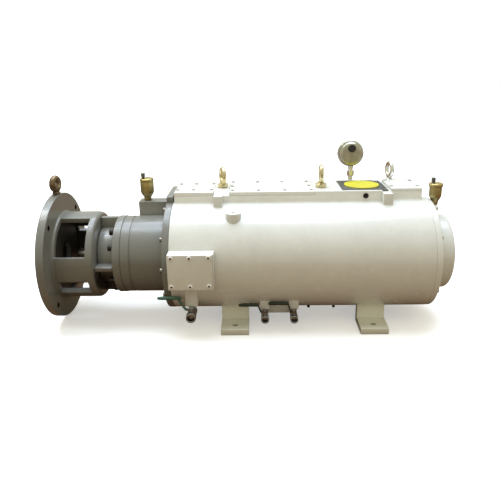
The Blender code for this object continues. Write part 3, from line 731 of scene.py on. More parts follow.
# dark liners in the disc's bolt holes: painted shade
rims = [((DISC_X1 + 0.0004, *polar(DISC_BOLT_R, k)), (-1, 0, 0), 0.0) for k in (45, 135, 225, 315)]
done("flange_hole_shade_liners", at_places(lambda: lathe([(0, 0.0068), (0, 0.0092), (0.0010, 0.0098), (0.0012, 0.0098), (0.0012, 0.0078), (0.0200, 0.0078), (0.0200, 0.0068)], 32, "Z", closed=True), rims), BLACK_BOLT)

def build_bore_cover():
    x0, x1, r = DISC_X0 + 0.0005, DISC_X0 + REGISTER_DEPTH - GAP, REGISTER_R - GAP - 0.0004
    ob = lathe(soft([(x0 + 0.0012, 0), (x0 + 0.0012, 0.114, 0.001), (x0, 0.118, 0.001), (x0, r, 0.001), (x1, r, 0.0004), (x1, 0)], 3), 120, "X", C)
    screws = []
    for k in (0, 90, 180, 270):
        y, z = polar(0.134, k)
        cut(ob, lathe([(x0 - 0.001, 0.0056), (x0 + 0.0001, 0.0056), (x0 + 0.0028, 0.0030), (x0 + 0.0030, 0.0030)], 32, "X", (0, y, z)))
        screws.append(move(cap_screw(0.0051, 0.0026, 0.0036), frame_to((x0 + 0.0028, y, z), (-1, 0, 0))))
    return merged([ob] + screws)


# its black gives the dark seen through the disc's bore from inside the cage: painted shade
done("bore_cover_shade_plate", build_bore_cover(), BLACK_BOLT, node="bore_cover", sharp=35)


# ================================================================ bearing housing, shaft end, gear case
def build_housing():
    x0, x1, e = HOUSING_X0, HOUSING_X1, SEAL_X0
    ob = lathe(soft([(e + 0.0050, 0), (e + 0.0050, 0.030, 0.001), (e, 0.032, 0.0015), (e, 0.060, 0.003), (e + 0.0050, 0.063, 0.002),
                     (e + 0.0060, 0.074, 0.004), (x0 + 0.0006, 0.074, 0.002), (x0 + 0.0006, HOUSING_R, 0.004), (x1 - 0.0060, HOUSING_R, 0.005), (x1, HOUSING_R + 0.0060), (x1, 0)], 4),
               120, "X", C)
    for k in (-4.5, 90, 184.5, 270):
        half = 0.0095 if k in (90, 270) else 0.0070
        rib = box(x0, x1, -half, half, HOUSING_R - 0.02, 0.134, 0.0022, 3)
        join(ob, move(rib, Matrix.Translation(C) @ Matrix.Rotation(math.pi / 2 - math.radians(k), 4, "X")))
    # cover screws round the shaft seal
    screws = []
    for i in range(6):
        y, z = polar(0.050, 30 + 60 * i)
        screws.append(move(cap_screw(0.0050, 0.0050, 0.0040), frame_to((e + 0.0001, y, z), (-1, 0, 0))))
    return merged([ob] + screws)


# the housing darkens towards its bottom: painted shade
done("housing_casting", build_housing(), GREY_LOW_SHADE, node="bearing_housing", sharp=38)

shaft = lathe(soft([(-0.6000 + 0.006, 0), (-0.6000 + 0.004, 0.0025), (-0.6000, 0.0050, 0.0004), (-0.6000, 0.019, 0.0012), (-0.5560, 0.019), (-0.5555, 0.01885), (-0.5545, 0.01885),
                    (-0.5540, 0.019), (SEAL_X0 - 0.0005, 0.019, 0.0006), (SEAL_X0 - 0.0005, 0)], 3), 72, "X", C)
cut(shaft, box(-0.61, -0.5560, -0.0050, 0.0050, AXIS_Z + 0.0145, AXIS_Z + 0.03, 0.0045, 4, lambda a, b: abs(a.z - b.z) > 0.01 and a.x > -0.56))
done("shaft_end", shaft, STEEL, body="shaft", node="input_shaft")


def build_gear_case():
    g = GEAR_R
    pts = [(GEAR_X0, 0), (GEAR_X0, g + 0.0012, 0.0030), (-0.4286, g + 0.0012, 0.0016), (-0.4280, g - 0.0016, 0.0008), (-0.4262, g - 0.0016, 0.0008), (-0.4258, g - 0.0002, 0.0008),
           (-0.3990, g - 0.0002, 0.0010), (-0.3984, g - 0.0026, 0.0008), (-0.3932, g - 0.0026, 0.0008), (-0.3926, g, 0.0010), (-0.3000, g), (-0.2905, g, 0.006), (-0.2850, g + 0.0030, 0.004),
           (GEAR_X1, g + 0.0040), (GEAR_X1, 0)]
    return lathe(soft(pts, 4), 160, "X", C)


done("gear_casing", build_gear_case(), GREY, node="gear_case", sharp=40)

gear_screws = at_places(lambda: cap_screw(0.0108, 0.0145, 0.0084),
                        [((GEAR_X0 + 0.0002, *polar(0.1205, a)), (-1, 0, 0), 0.3 * i) for i, a in enumerate((28, 55, 125, 152, -28, -55, -125, -152))])
done("gear_case_screws", gear_screws, BLACK_BOLT)


def rounded(outline, radii, n=5):
    """Close an outline and round each of its corners."""
    m = len(outline)
    out = []
    for i in range(m):
        tri = soft([outline[i - 1], (*outline[i], radii[i]), outline[(i + 1) % m]], n)
        out += tri[1:-1]
    return out


def build_case_flange():
    ob = lathe(soft([(FLANGE_X0, 0), (FLANGE_X0, 0.1872, 0.0022), (FLANGE_X1, 0.1872, 0.0016), (FLANGE_X1, 0)], 4), 160, "X", C)
    tab = prism(rounded([(-0.0225, 0.30), (-0.0225, 0.4325), (0.1505, 0.4325), (0.1505, 0.30)], [0.001, 0.006, 0.012, 0.001]), FLANGE_X0, FLANGE_X1, "X", 0.0015, 3)
    return join(ob, tab)


done("case_flange_casting", build_case_flange(), GREY, node="gear_case_flange", sharp=38)
flange_screws = at_places(lambda: cap_screw(0.0080, 0.0085, 0.0064),
                          [((FLANGE_X0 + 0.0002, *polar(0.1710, a)), (-1, 0, 0), 0.4 * i) for i, a in enumerate((33.5, 76, 146.5, 0, 180, -33.5, -76, -104, -146.5))])
done("case_flange_screws", flange_screws, SCREW_GREY)


def build_vent_box():
    ob = box(-0.3900, GEAR_X1, 0.044, 0.096, AXIS_Z + 0.05, 0.400, 0.0035, 4)
    cut(ob, lathe([(GEAR_X0 - 0.01, GEAR_R + GAP), (GEAR_X1 + 0.01, GEAR_R + GAP)], 160, "X", C))
    return join(ob, lathe(soft([(0.3960, 0), (0.3960, 0.0185, 0.0), (0.4003, 0.0185, 0.001), (0.4003, 0)], 3), 48, "Z", (-0.3615, 0.070, 0)))


done("vent_box_casting", build_vent_box(), GREY, node="vent_box", sharp=38)


# ================================================================ casing
def deck_block(x0, x1, y0, y1, top, corner, fillet, end):
    """Block sunk in the shell, its top arrises rounded and its walls filleted on to the shell."""
    def foot(y, out):
        # fillet centre lies off the wall and off the shell by its radius; both ends are tangent
        cy = y + out * fillet
        cz = AXIS_Z + math.sqrt((CASE_R + fillet) ** 2 - cy ** 2)
        on = Vector((cy, cz - AXIS_Z)) * (CASE_R / (CASE_R + fillet))
        a0 = math.atan2(0.0, y - cy)
        a1 = math.atan2(AXIS_Z + on.y - cz, on.x - cy)
        if a1 - a0 > math.pi:
            a1 -= 2 * math.pi
        if a0 - a1 > math.pi:
            a1 += 2 * math.pi
        pts = [(cy + fillet * math.cos(a0 + (a1 - a0) * k / 6), cz + fillet * math.sin(a0 + (a1 - a0) * k / 6)) for k in range(7)]
        return pts + [(on.x - out * 0.004, AXIS_Z + on.y - 0.010)]

    front, rear = foot(y0, -1), foot(y1, 1)
    crown = []
    for cy, t0 in ((y0 + corner, 180), (y1 - corner, 90)):
        for k in range(5):
            t = math.radians(t0 - 90 * k / 4)
            crown.append((cy + corner * math.cos(t), top - corner + corner * math.sin(t)))
    return prism(list(reversed(front)) + crown + rear, x0, x1, "X", end, 2)


def build_casing():
    ob = lathe(soft([(CASE_X0, 0), (CASE_X0, CASE_R, 0.0014), (CASE_X1, CASE_R, 0.0012), (CASE_X1, 0)], 4), 192, "X", C)
    join(ob, deck_block(DECK_X0, DECK_X1, DECK_Y0, DECK_Y1, DECK_Z, 0.0016, 0.0042, 0.0009))
    join(ob, deck_block(INLET_X0, INLET_X1, DECK_Y0 + 0.0001, DECK_Y1 - 0.0001, INLET_Z, 0.0016, 0.0040, 0.0009))
    join(ob, deck_block(0.4600, PLATE3_X[1], DECK3_Y0, DECK3_Y1, DECK3_Z, 0.0016, 0.0060, 0.0009))
    # pad under the lifting eye
    pad = prism(rounded([(-0.0227, 0.42), (-0.0227, 0.4337), (0.0190, INLET_Z), (0.1090, INLET_Z), (0.1515, 0.4337), (0.1515, 0.42)],
                        [0.0005, 0.0020, 0.0060, 0.0060, 0.0020, 0.0005], 4), -0.1217, -0.0703, "X")
    join(ob, pad)
    # square bosses on the deck's front
    join(ob, box(-0.1204, -0.0909, -0.0574, 0.0060, 0.37, 0.4387, 0.0017, 3))
    join(ob, box(0.4410, 0.4728, -0.0524, 0.0110, 0.37, 0.4415, 0.0017, 3))
    # the board's pocket
    h = PAD_HALF + 0.001
    cut(ob, box(INLET_X - h, INLET_X + h, INLET_Y - h, INLET_Y + h, 0.4408, 0.46))
    # lug behind the deck for the lifting eye
    join(ob, box(0.4870, 0.5285, 0.1300, 0.1815, 0.3950, DECK_Z - 0.0001, 0.0030, 4))
    # round boss with its tapped hole
    boss = lathe(soft([(0.33, 0), (0.33, 0.0257), (0.396, 0.0257, 0.0025), (0.396, 0)], 4), 64, "Z", (-0.0533, -0.099, 0))
    join(ob, boss)
    cut(ob, lathe([(0.380, 0.0), (0.380, 0.0048), (0.3952, 0.0048), (0.3970, 0.0068), (0.3980, 0.0068), (0.3980, 0)], 32, "Z", (-0.0533, -0.099, 0)))
    for s in (-1, 1):
        y0, y1 = sorted((s * 0.12, s * 0.2117))
        join(ob, box(SIDE_X[0], SIDE_X[1] + 0.004, y0, y1, SIDE_Z[0] - 0.001, SIDE_Z[1], 0.0012, 3, lambda a, b, s=s: abs(a.y + b.y) / 2 > 0.15))
    join(ob, box(-0.2135, -0.1725, -0.1730, -0.1280, 0.0990, 0.17, 0.0016, 3))
    for x in (0.0466, 0.1425):
        join(ob, box(x - 0.0165, x + 0.0165, -0.1410, -0.1075, 0.0720, 0.13, 0.0016, 3))
    join(ob, box(0.040, 0.150, -0.108, -0.070, 0.0420, 0.12, 0.0050, 4))
    return ob


casing = done("casing_casting", build_casing(), (WHITE, WHITE_LIT), node="main_casing", sharp=30)
# the deck's front wall gets a lighter copy of the enamel: painted light
for face in casing.data.polygons:
    if face.normal.y < -0.7 and face.center.z > 0.402 and face.center.y > -0.030:
        face.material_index = 1

plate = lathe(soft([(CASE_X1 + GAP, 0), (CASE_X1 + GAP, CASE_R - 0.0004, 0.0010), (END_PLATE_X1, CASE_R - 0.0004, 0.0030), (END_PLATE_X1, 0)], 5), 192, "X", C)
done("end_plate_disc", plate, WHITE, node="end_plate", sharp=35)
END_BOLTS = [(-0.0593, 0.3933), (-0.1337, 0.3172), (-0.1405, 0.1364), (-0.0640, 0.0600)]
END_BOLTS += [(-y, z) for y, z in END_BOLTS]
done("end_plate_screws", at_places(lambda: cap_screw(0.0088, 0.0090, 0.0070), [((END_PLATE_X1 - 0.0002, y, z), (1, 0, 0), i) for i, (y, z) in enumerate(END_BOLTS)]),
     WHITE_BOLT)


def build_end_cover():
    e, r, a = END_COVER_X1, END_COVER_R, END_PLATE_X1 + GAP
    pts = [(a, 0), (a, r - 0.0006, 0.001), (a + 0.0120, r - 0.0006, 0.0008), (a + 0.0128, r - 0.0014, 0.0006), (a + 0.0140, r - 0.0014, 0.0006), (a + 0.0148, r, 0.0008),
           (e, r, 0.0150), (e, 0.072, 0.002), (e - 0.0016, 0.070, 0.002), (e - 0.0016, 0)]
    return lathe(soft(pts, 8), 160, "X", C)


done("end_cover_cap", build_end_cover(), WHITE, node="end_cover", sharp=40)

# ================================================================ cover plates and their bolts
for node, xs, y0, y1, z0, t in (("top_cover_drive_end", PLATE1_X, DECK_Y0, DECK_Y1, DECK_Z, PLATE_T), ("top_cover_middle", PLATE2_X, DECK_Y0, DECK_Y1, DECK_Z, PLATE_T),
                                ("top_cover_far_end", PLATE3_X, DECK3_Y0, DECK3_Y1, DECK3_Z, PLATE3_T)):
    done(node + "_plate", box(xs[0], xs[1], y0 + 0.0002, y1 - 0.0002, z0 + GAP, z0 + t, 0.0011, 3), WHITE_LIT, node=node)
TOP_BOLTS = [(x, y, DECK_Z + PLATE_T) for y in (0.1079, 0.0126) for x in (-0.2455, -0.1916, -0.1305)]
TOP_BOLTS += [(x, y, DECK_Z + PLATE_T) for x, y in ((-0.0620, 0.1349), (0.0267, 0.1349), (0.1139, 0.1349), (0.2027, 0.1349), (-0.0610, 0.0644), (0.2044, 0.0644),
                                                    (-0.0589, -0.0030), (0.0289, -0.0030), (0.1177, -0.0030), (0.2063, -0.0030))]
TOP_BOLTS += [(x, y, DECK3_Z + PLATE3_T) for x, y in ((0.4822, 0.0222), (0.5695, 0.0240), (0.4822, 0.1180), (0.5680, 0.1110))]
done("top_cover_bolts", at_places(lambda: hex_head(0.0102, 0.0052), [((x, y, z - 0.0002), (0, 0, 1), 0.5 * i) for i, (x, y, z) in enumerate(TOP_BOLTS)]), WHITE_BOLT)
for s, tag in ((-1, "front"), (1, "rear")):
    y0, y1 = sorted((s * 0.2120, s * 0.2190))
    done("side_cover_%s_plate" % tag, box(SIDE_X[0], SIDE_X[1], y0, y1, *SIDE_Z, 0.0014, 3), WHITE, node="side_cover_" + tag)
    places = [((x, s * 0.2188, z), (0, s, 0), 0.4 * i) for i, (x, z) in enumerate(((-0.2455, 0.2825), (-0.1879, 0.2829), (-0.1284, 0.2838), (-0.2465, 0.1879), (-0.1883, 0.1878), (-0.1287, 0.1895)))]
    dome = [(0, 0), (0, 0.0086), (0.0004, 0.0086, 0.0002), (0.0012, 0.0079, 0.001), (0.0031, 0.0052, 0.0006), (0.0031, 0.0034, 0.0002), (0.0017, 0.0032, 0.0002), (0.0017, 0)]
    done("side_cover_%s_bolts" % tag, at_places(lambda: lathe(soft(dome, 3), 36, "Z"), places), BRIGHT_BOLT)
    # dark discs in the screws' dimples: painted shade
    wells = [((x, s * 0.2206, z), (0, s, 0), a) for (x, _, z), _, a in places]
    done("side_cover_%s_sockets" % tag, at_places(lambda: lathe([(0, 0), (0, 0.0031), (0.0004, 0.0031), (0.0006, 0.0026), (0.0006, 0)], 24, "Z"), wells), BLACK_BOLT)

# ================================================================ inlet
done("inlet_gasket_board", box(INLET_X - PAD_HALF, INLET_X + PAD_HALF, INLET_Y - PAD_HALF, INLET_Y + PAD_HALF, 0.4411, 0.4459, 0.0006, 2), BOARD, node="inlet_board")
z = 0.4462
cap = lathe(soft([(z, 0), (z, CAP_R, 0.0004), (z + 0.0034, CAP_R, 0.0012), (z + 0.0036, CAP_R - 0.0060, 0.0006), (z + 0.0024, CAP_R - 0.0070, 0.0006), (z + 0.0024, CAP_R - 0.0110, 0.0006),
                  (z + 0.0032, CAP_R - 0.0120, 0.0006), (z + 0.0032, 0.0140, 0.0004), (z + 0.0026, 0.0134, 0.0004), (z + 0.0026, 0.0110, 0.0004), (z + 0.0032, 0.0104, 0.0004), (z + 0.0032, 0)], 3),
            128, "Z", (INLET_X, INLET_Y, 0))
done("inlet_transit_cap", cap, YELLOW, node="inlet_cap")
done("port_plug_screw", move(cap_screw(0.0090, 0.0026, 0.0082), frame_to((0.3872, DECK_Y0 - GAP, 0.4288), (0, -1, 0))), BLACK_BOLT, node="port_plug")


# ================================================================ lifting eyes
def forged_eye(name, node, x, y, z, height, ring_r, wire_r, collar_r, collar_h, angle, mat, deep=1.0):
    """Shouldered eye bolt: forged ring that thickens towards its turned collar, deep times thicker along its axis."""
    zc = z + height - ring_r - wire_r
    c, s = math.cos(math.radians(angle)), math.sin(math.radians(angle))
    n, e = Vector((c, s, 0)), Vector((-s, c, 0))
    bm = bmesh.new()
    rings = []
    for i in range(56):
        t = 2 * math.pi * i / 56
        low = max(0.0, -math.sin(t)) ** 1.5
        r = wire_r * (0.97 + 0.16 * low)
        out = e * math.cos(t) + Vector((0, 0, 1)) * math.sin(t)
        rings.append([bm.verts.new(Vector((x, y, zc)) + out * (ring_r + wire_r - r + r * math.cos(2 * math.pi * k / 20)) + n * (deep * r * math.sin(2 * math.pi * k / 20))) for k in range(20)])
    for i in range(56):
        p, q = rings[i], rings[(i + 1) % 56]
        for k in range(20):
            m = (k + 1) % 20
            bm.faces.new((p[k], p[m], q[m], q[k]))
    ob = obj_from(bm)
    top = max(zc - ring_r + wire_r * 0.2, z + collar_h + 0.003)
    wide = min(wire_r * 1.9, collar_r - 0.001)
    neck = lathe([(z + collar_h * 0.4, 0), (z + collar_h * 0.4, wide), (z + collar_h, wide * 0.92), ((z + collar_h + top) / 2, wire_r * 1.2), (top, wire_r * 0.85), (top, 0)], 32, "Z", (x, y, 0))
    join(ob, neck)
    apply(ob, "REMESH", mode="VOXEL", voxel_size=0.0011, adaptivity=0.0)
    apply(ob, "SMOOTH", factor=0.5, iterations=3)
    collar = lathe(soft([(z, 0), (z, collar_r - 0.0005, 0.0010), (z + collar_h * 0.92, collar_r, 0.0016), (z + collar_h, collar_r * 0.80, 0.0015), (z + collar_h + 0.0006, wire_r * 1.2), (z + collar_h + 0.0006, 0)], 4),
                   48, "Z", (x, y, 0))
    return done(name, merged([ob, collar]), mat, node=node, sharp=50)


forged_eye("lifting_eye_drive_flange", "eye_drive_flange", -0.6568, 0.0, AXIS_Z + DISC_R + GAP, 0.0637, 0.0200, 0.0090, 0.0135, 0.0055, -9, BRONZE, 1.18)
forged_eye("lifting_eye_drive_end", "eye_deck_drive_end", -0.0942, 0.0593, INLET_Z + GAP, 0.0697, 0.0249, 0.0073, 0.0181, 0.0124, 17, ZINC)
forged_eye("lifting_eye_inlet", "eye_deck_inlet", 0.2448, 0.0437, INLET_Z + GAP, 0.0785, 0.0249, 0.0073, 0.0187, 0.0124, -3, ZINC)
forged_eye("lifting_eye_far_end", "eye_deck_far_end", 0.5071, 0.1624, DECK_Z + GAP, 0.0795, 0.0249, 0.0073, 0.0181, 0.0124, 8, PALE_ZINC)


# ================================================================ air vents
def build_vent(x, y, z0, z1, neck_r, waist, bowl_r):
    body = lathe(soft([(z0, 0), (z0, neck_r - 0.0005, 0.0008), (z0 + waist * 0.36, neck_r, 0.002), (z0 + waist * 0.90, bowl_r - 0.0010, 0.005), (z0 + waist * 1.08, bowl_r, 0.004),
                       (z1 - 0.0145, bowl_r, 0.0008), (z1 - 0.0138, bowl_r - 0.0012, 0.0005), (z1 - 0.0118, bowl_r - 0.0012, 0.0005), (z1 - 0.0112, 0.0236, 0.0010), (z1 - 0.0040, 0.0236, 0.0018),
                       (z1 - 0.0008, 0.0205, 0.0020), (z1, 0.0110, 0.002), (z1, 0)], 4), 96, "Z", (x, y, 0))
    # a band of knurling round the lid
    grips = []
    for i in range(36):
        t = 2 * math.pi * i / 36
        grips.append(move(box(0.0228, 0.0239, -0.0010, 0.0010, z1 - 0.0104, z1 - 0.0048, 0.0004, 1), Matrix.Translation((x, y, 0)) @ Matrix.Rotation(t, 4, "Z")))
    return merged([body] + grips)


def build_vent_screw(x, y, z0, z1):
    stem = lathe(soft([(z0, 0), (z0, 0.0054, 0.0003), (z0 + 0.0044, 0.0054, 0.0006), (z0 + 0.0050, 0.0070, 0.0005), (z1 - 0.0008, 0.0070, 0.0010), (z1, 0.0048, 0.0006), (z1, 0)], 3), 40, "Z", (x, y, 0))
    cut(stem, box(x - 0.009, x + 0.009, y - 0.0008, y + 0.0008, z1 - 0.0018, z1 + 0.002))
    return stem


VX2 = 0.6255
done("air_vent_drive_end_body", build_vent(-0.3615, 0.070, 0.400 + GAP, 0.4785, 0.0130, 0.0287, 0.0232), BRASS, node="air_vent_drive_end", sharp=40)
done("vent_screw_drive_end_knob", build_vent_screw(-0.3720, 0.064, 0.4785 + GAP, 0.4970), KNOB, node="vent_screw_drive_end")
done("air_vent_far_end_body", build_vent(VX2, 0.0, 0.3905 + GAP, 0.4655, 0.0112, 0.030, 0.0205), BRASS, node="air_vent_far_end", sharp=40)
done("vent_screw_far_end_knob", build_vent_screw(VX2 - 0.0110, -0.004, 0.4655 + GAP, 0.4840), KNOB, node="vent_screw_far_end")


def build_nipple():
    pts = [(AXIS_Z + 0.12, 0), (AXIS_Z + 0.12, 0.0088)]
    z = 0.3640
    while z < 0.3880:
        pts += [(z, 0.0088), (z + 0.0008, 0.0081), (z + 0.0016, 0.0088)]
        z += 0.0019
    pts += [(0.3897, 0.0088), (0.3905, 0.0080), (0.3905, 0)]
    ob = lathe(pts, 48, "Z", (VX2, 0, 0))
    cut(ob, lathe([(0.60, END_COVER_R + GAP), (0.68, END_COVER_R + GAP)], 160, "X", C))
    return merged([ob, move(hex_head(0.0240, 0.0090), Matrix.Translation((VX2, 0, 0.3525)))])


done("vent_riser", build_nipple(), STEEL, node="vent_nipple", sharp=30)

# ================================================================ pressure gauge, its dial to the back
GX, GY, GZ = 0.3682, 0.1971, 0.5369
K = 1.0367               # the gauge's parts grow with its case
case = lathe(soft([(GY + K * a, K * r, K * c) for a, r, c in
                   ((-0.0330, 0, 0), (-0.0330, 0.0300, 0.002), (-0.0318, 0.0385, 0.004), (-0.0270, 0.0412, 0.003), (-0.0105, 0.0415, 0.001), (-0.0100, 0.0440, 0.0010),
                    (-0.0080, 0.0458, 0.0016), (0.0022, 0.0458, 0.0020), (0.0044, 0.0436, 0.0014), (0.0044, 0.0408, 0.0010), (0.0010, 0.0396, 0.0006), (-0.0010, 0.0396, 0.0004),
                    (-0.0010, 0, 0))], 4), 96, "Y", (GX, 0, GZ))
done("gauge_housing", case, GAUGE_STEEL, node="gauge_case", sharp=40)


def build_dial():
    face = lathe([(GY - 0.0008, 0), (GY - 0.0008, 0.0405), (GY - 0.0004, 0.0405), (GY - 0.0004, 0)], 96, "Y", (GX, 0, GZ))
    return face


def build_dial_marks():
    out = []
    for i in range(31):
        a = math.radians(225 - 270 * i / 30)
        r0 = 0.0312 if i % 5 == 0 else 0.0337
        w = 0.0007 if i % 5 == 0 else 0.00035
        b = box(r0, 0.0368, GY - 0.0003, GY + 0.0001, -w, w)
        # seen from the back the dial's right is -X
        out.append(move(b, Matrix.Translation((GX, 0, GZ)) @ Matrix.Scale(-1, 4, (1, 0, 0)) @ Matrix.Rotation(-a, 4, "Y")))
    needle = prism([(-0.0090, -0.0011), (0.0280, -0.0003), (0.0280, 0.0003), (-0.0090, 0.0011)], -0.0003, 0.0003, "Z")
    a = math.radians(225)
    move(needle, Matrix.Translation((GX, GY + 0.0013, GZ)) @ Matrix.Scale(-1, 4, (1, 0, 0)) @ Matrix.Rotation(-a, 4, "Y") @ Matrix.Rotation(math.radians(90), 4, "X"))
    hub = lathe(soft([(GY - 0.0003, 0), (GY - 0.0003, 0.0030), (GY + 0.0024, 0.0030, 0.0005), (GY + 0.0024, 0)], 3), 32, "Y", (GX, 0, GZ))
    return merged(out + [needle, hub])


DIAL_WHITE = plastic("dial_white", (0.84, 0.84, 0.82), 0.5)
done("gauge_dial", build_dial(), DIAL_WHITE)
marks = build_dial_marks()
done("gauge_dial_marks", marks, RUBBER)


def build_stem():
    x, y = GX, GY - 0.0187
    parts = [lathe(soft([(0.4333, 0), (0.4333, 0.0098, 0.0006), (0.4416, 0.0098, 0.001), (0.4431, 0.0082, 0.001), (0.4562, 0.0082, 0.001), (0.4562, 0)], 3), 40, "Z", (x, y, 0)),
             move(hex_head(0.0222, 0.0187), Matrix.Translation((x, y, 0.4560)) @ Matrix.Rotation(0.5, 4, "Z")),
             lathe(soft([(0.4737, 0), (0.4737, 0.0084), (0.4858, 0.0084, 0.001), (0.4884, 0.0100, 0.001), (0.4985, 0.0100), (0.4985, 0)], 3), 40, "Z", (x, y, 0))]
    cut(parts[2], lathe([(GY - 0.06, 0.0434), (GY + 0.02, 0.0434)], 96, "Y", (GX, 0, GZ)))
    return merged(parts)


done("gauge_stem_fitting", build_stem(), PALE_ZINC, node="gauge_stem", sharp=30)
done("gauge_bracket_block", box(GX - 0.0145, GX + 0.0145, DECK_Y1 + GAP, GY, 0.4104, 0.4330, 0.0020, 3), WHITE, node="gauge_bracket")
relief = lathe(soft([(GY + K * a, K * r, K * c) for a, r, c in
                     ((-0.0370, 0, 0), (-0.0362, 0.0050, 0.001), (-0.0370, 0.0095, 0.0010), (-0.0366, 0.0128, 0.0010), (-0.0345, 0.0135, 0.0010), (-0.0333, 0.0135, 0), (-0.0333, 0, 0))], 3),
               48, "Y", (GX, 0, GZ + 0.0218))
done("gauge_blowout_plug", relief, RUBBER, node="gauge_relief_plug")


# ================================================================ drain valves
def build_valve(tag, x, y, top, az, stem_y, mouth_y, r, hex_r, bore_r, grip, neck, grip_z, mat):
    hub_z = az + r * 1.02 + 0.0045
    af = hex_r * 2 * math.cos(math.radians(30))
    parts = [move(hex_head(af, 0.0105), Matrix.Translation((x, y, top - GAP - 0.0105)) @ Matrix.Rotation(0.5, 4, "Z")),
             lathe(soft([(az, 0), (az, hex_r * 0.80), (top - 0.0103, hex_r * 0.80, 0.001), (top - 0.0103, 0)], 3), 48, "Z", (x, y, 0))]
    # ball body, gland, outlet with its mouth
    b = lathe(soft([(y + r * 0.95, 0), (y + r * 0.95, r * 0.70, 0.002), (y + r * 0.55, r * 1.02, 0.003), (stem_y - 0.0080, r * 1.02, 0.0015), (stem_y - 0.0095, r * 0.86, 0.001),
                    (mouth_y + 0.0128, r * 0.86, 0.001), (mouth_y + 0.0120, r * 1.12, 0.0008), (mouth_y, r * 1.12, 0.0010), (mouth_y, bore_r, 0.0008), (mouth_y + 0.0190, bore_r * 0.92), (mouth_y + 0.0190, 0)], 4),
              64, "Y", (x, 0, az))
    # black thread rings and a disc deep in the mouth: painted shade inside the bore
    threads = [lathe([(mouth_y + 0.0184, 0), (mouth_y + 0.0184, bore_r * 0.92), (mouth_y + 0.0189, bore_r * 0.92), (mouth_y + 0.0189, 0)], 40, "Y", (x, 0, az))]
    for i in range(8):
        yy = mouth_y + 0.0018 + 0.0020 * i
        threads.append(lathe([(yy, bore_r * 0.955), (yy + 0.0010, bore_r * 0.915), (yy + 0.0019, bore_r * 0.955), (yy + 0.0019, bore_r * 1.005), (yy, bore_r * 1.005)], 40, "Y", (x, 0, az), closed=True))
    done("valve_%s_bore" % tag, merged(threads), BLACK_BOLT)
    # outlet nut
    parts.append(move(hex_head(r * 2.06, 0.0100), frame_to((x, mouth_y + 0.0130, az), (0, 1, 0), 0.0)))
    parts.append(b)
    parts.append(lathe(soft([(az, 0), (az, 0.0062), (hub_z - 0.0012, 0.0062, 0.0006), (hub_z - 0.0012, 0.0036), (hub_z + 0.0070, 0.0036, 0.0004), (hub_z + 0.0070, 0)], 3), 36, "Z", (x, stem_y, 0)))
    done("valve_%s_body" % tag, merged(parts), NICKEL, node="valve_body_" + tag, sharp=35)
    # lever: pressed strap with a hole over the stem, dipped in vinyl
    zs = hub_z + 0.0015
    strap = [(x + 0.0078, zs), (x + 0.004, zs), (x - neck[0] * 0.7, zs), (x - neck[0], zs + 0.0002)]
    up = grip_z - 0.001
    steps = 8
    for i in range(1, steps + 1):
        u = i / steps
        w = u * u * (3 - 2 * u)
        strap.append((x - neck[0] - (neck[1] - neck[0]) * u, zs + (up - zs) * w))
    strap.append((x - grip[0] - 0.012, grip_z))
    bm = bmesh.new()
    rings = []
    for i, (px, pz) in enumerate(strap):
        a, b2 = strap[max(i - 1, 0)], strap[min(i + 1, len(strap) - 1)]
        d = Vector((b2[0] - a[0], 0, b2[1] - a[1])).normalized()
        nn = Vector((-d.z, 0, d.x))
        hw = 0.0045 if i == 0 else (0.0078 if i < 3 else 0.0062)
        ht = 0.0015 if i < 3 else 0.0021
        sec = [(-1, -0.55), (-0.85, -1), (0.85, -1), (1, -0.55), (1, 0.55), (0.85, 1), (-0.85, 1), (-1, 0.55)]
        rings.append([bm.verts.new(Vector((px, stem_y, pz)) + Vector((0, 1, 0)) * hw * u + nn * ht * v) for u, v in sec])
    for p, q in zip(rings, rings[1:]):
        for k2 in range(8):
            m = (k2 + 1) % 8
            bm.faces.new((p[k2], p[m], q[m], q[k2]))
    bm.faces.new(rings[0])
    bm.faces.new(rings[-1])
    lever = obj_from(bm)
    cut(lever, lathe([(hub_z - 0.01, 0.0041), (hub_z + 0.02, 0.0041)], 32, "Z", (x, stem_y, 0)))
    g0, g1 = x - grip[0], x - grip[1]
    n = 14
    path = [(g0 + (g1 - g0) * i / n, stem_y, grip_z + 0.0006 * math.sin(math.pi * i / n)) for i in range(n + 1)]
    radii = [0.0064 * min(1.0, 0.72 + 0.6 * math.sqrt(max(0.0, 1 - (1 - min(1, i / 1.6)) ** 2))) if i < 2 else (0.0064 * (0.94 + 0.04 * math.cos(i * 1.3)) if i < n - 1 else 0.0064 * (0.86 if i == n - 1 else 0.5))
             for i in range(n + 1)]
    handle = tube(path, radii, 24, 0.97)
    whole = done("valve_%s_lever" % tag, merged([lever, handle]), (mat, SCREW_GREY if tag == "1" else BROWN_NUT), body="lever_" + tag, node="valve_lever_" + tag, sharp=40)
    # the vinyl stops short of the hub
    for face in whole.data.polygons:
        if face.center.x > x - neck[0] * 0.85:
            face.material_index = 1
    nut = move(hex_head(0.0130, 0.0036), Matrix.Translation((x, stem_y, hub_z + 0.0032)) @ Matrix.Rotation(0.3, 4, "Z"))
    done("valve_%s_nut" % tag, nut, NICKEL if tag == "1" else BROWN_NUT, body="lever_" + tag)


build_valve("1", -0.1930, -0.1515, 0.0990, 0.0735, -0.1850, -0.2080, 0.0145, 0.0140, 0.0115, (0.0300, 0.1080), (0.014, 0.046), 0.1350, TEAL)
build_valve("2", 0.0466, -0.1250, 0.0720, 0.0507, -0.1560, -0.1780, 0.0118, 0.0125, 0.0088, (0.0230, 0.0870), (0.0105, 0.0250), 0.0950, DARK_VINYL)
build_valve("3", 0.1425, -0.1250, 0.0720, 0.0507, -0.1560, -0.1780, 0.0118, 0.0125, 0.0088, (0.0190, 0.0850), (0.0100, 0.0200), 0.1000, DARK_VINYL)

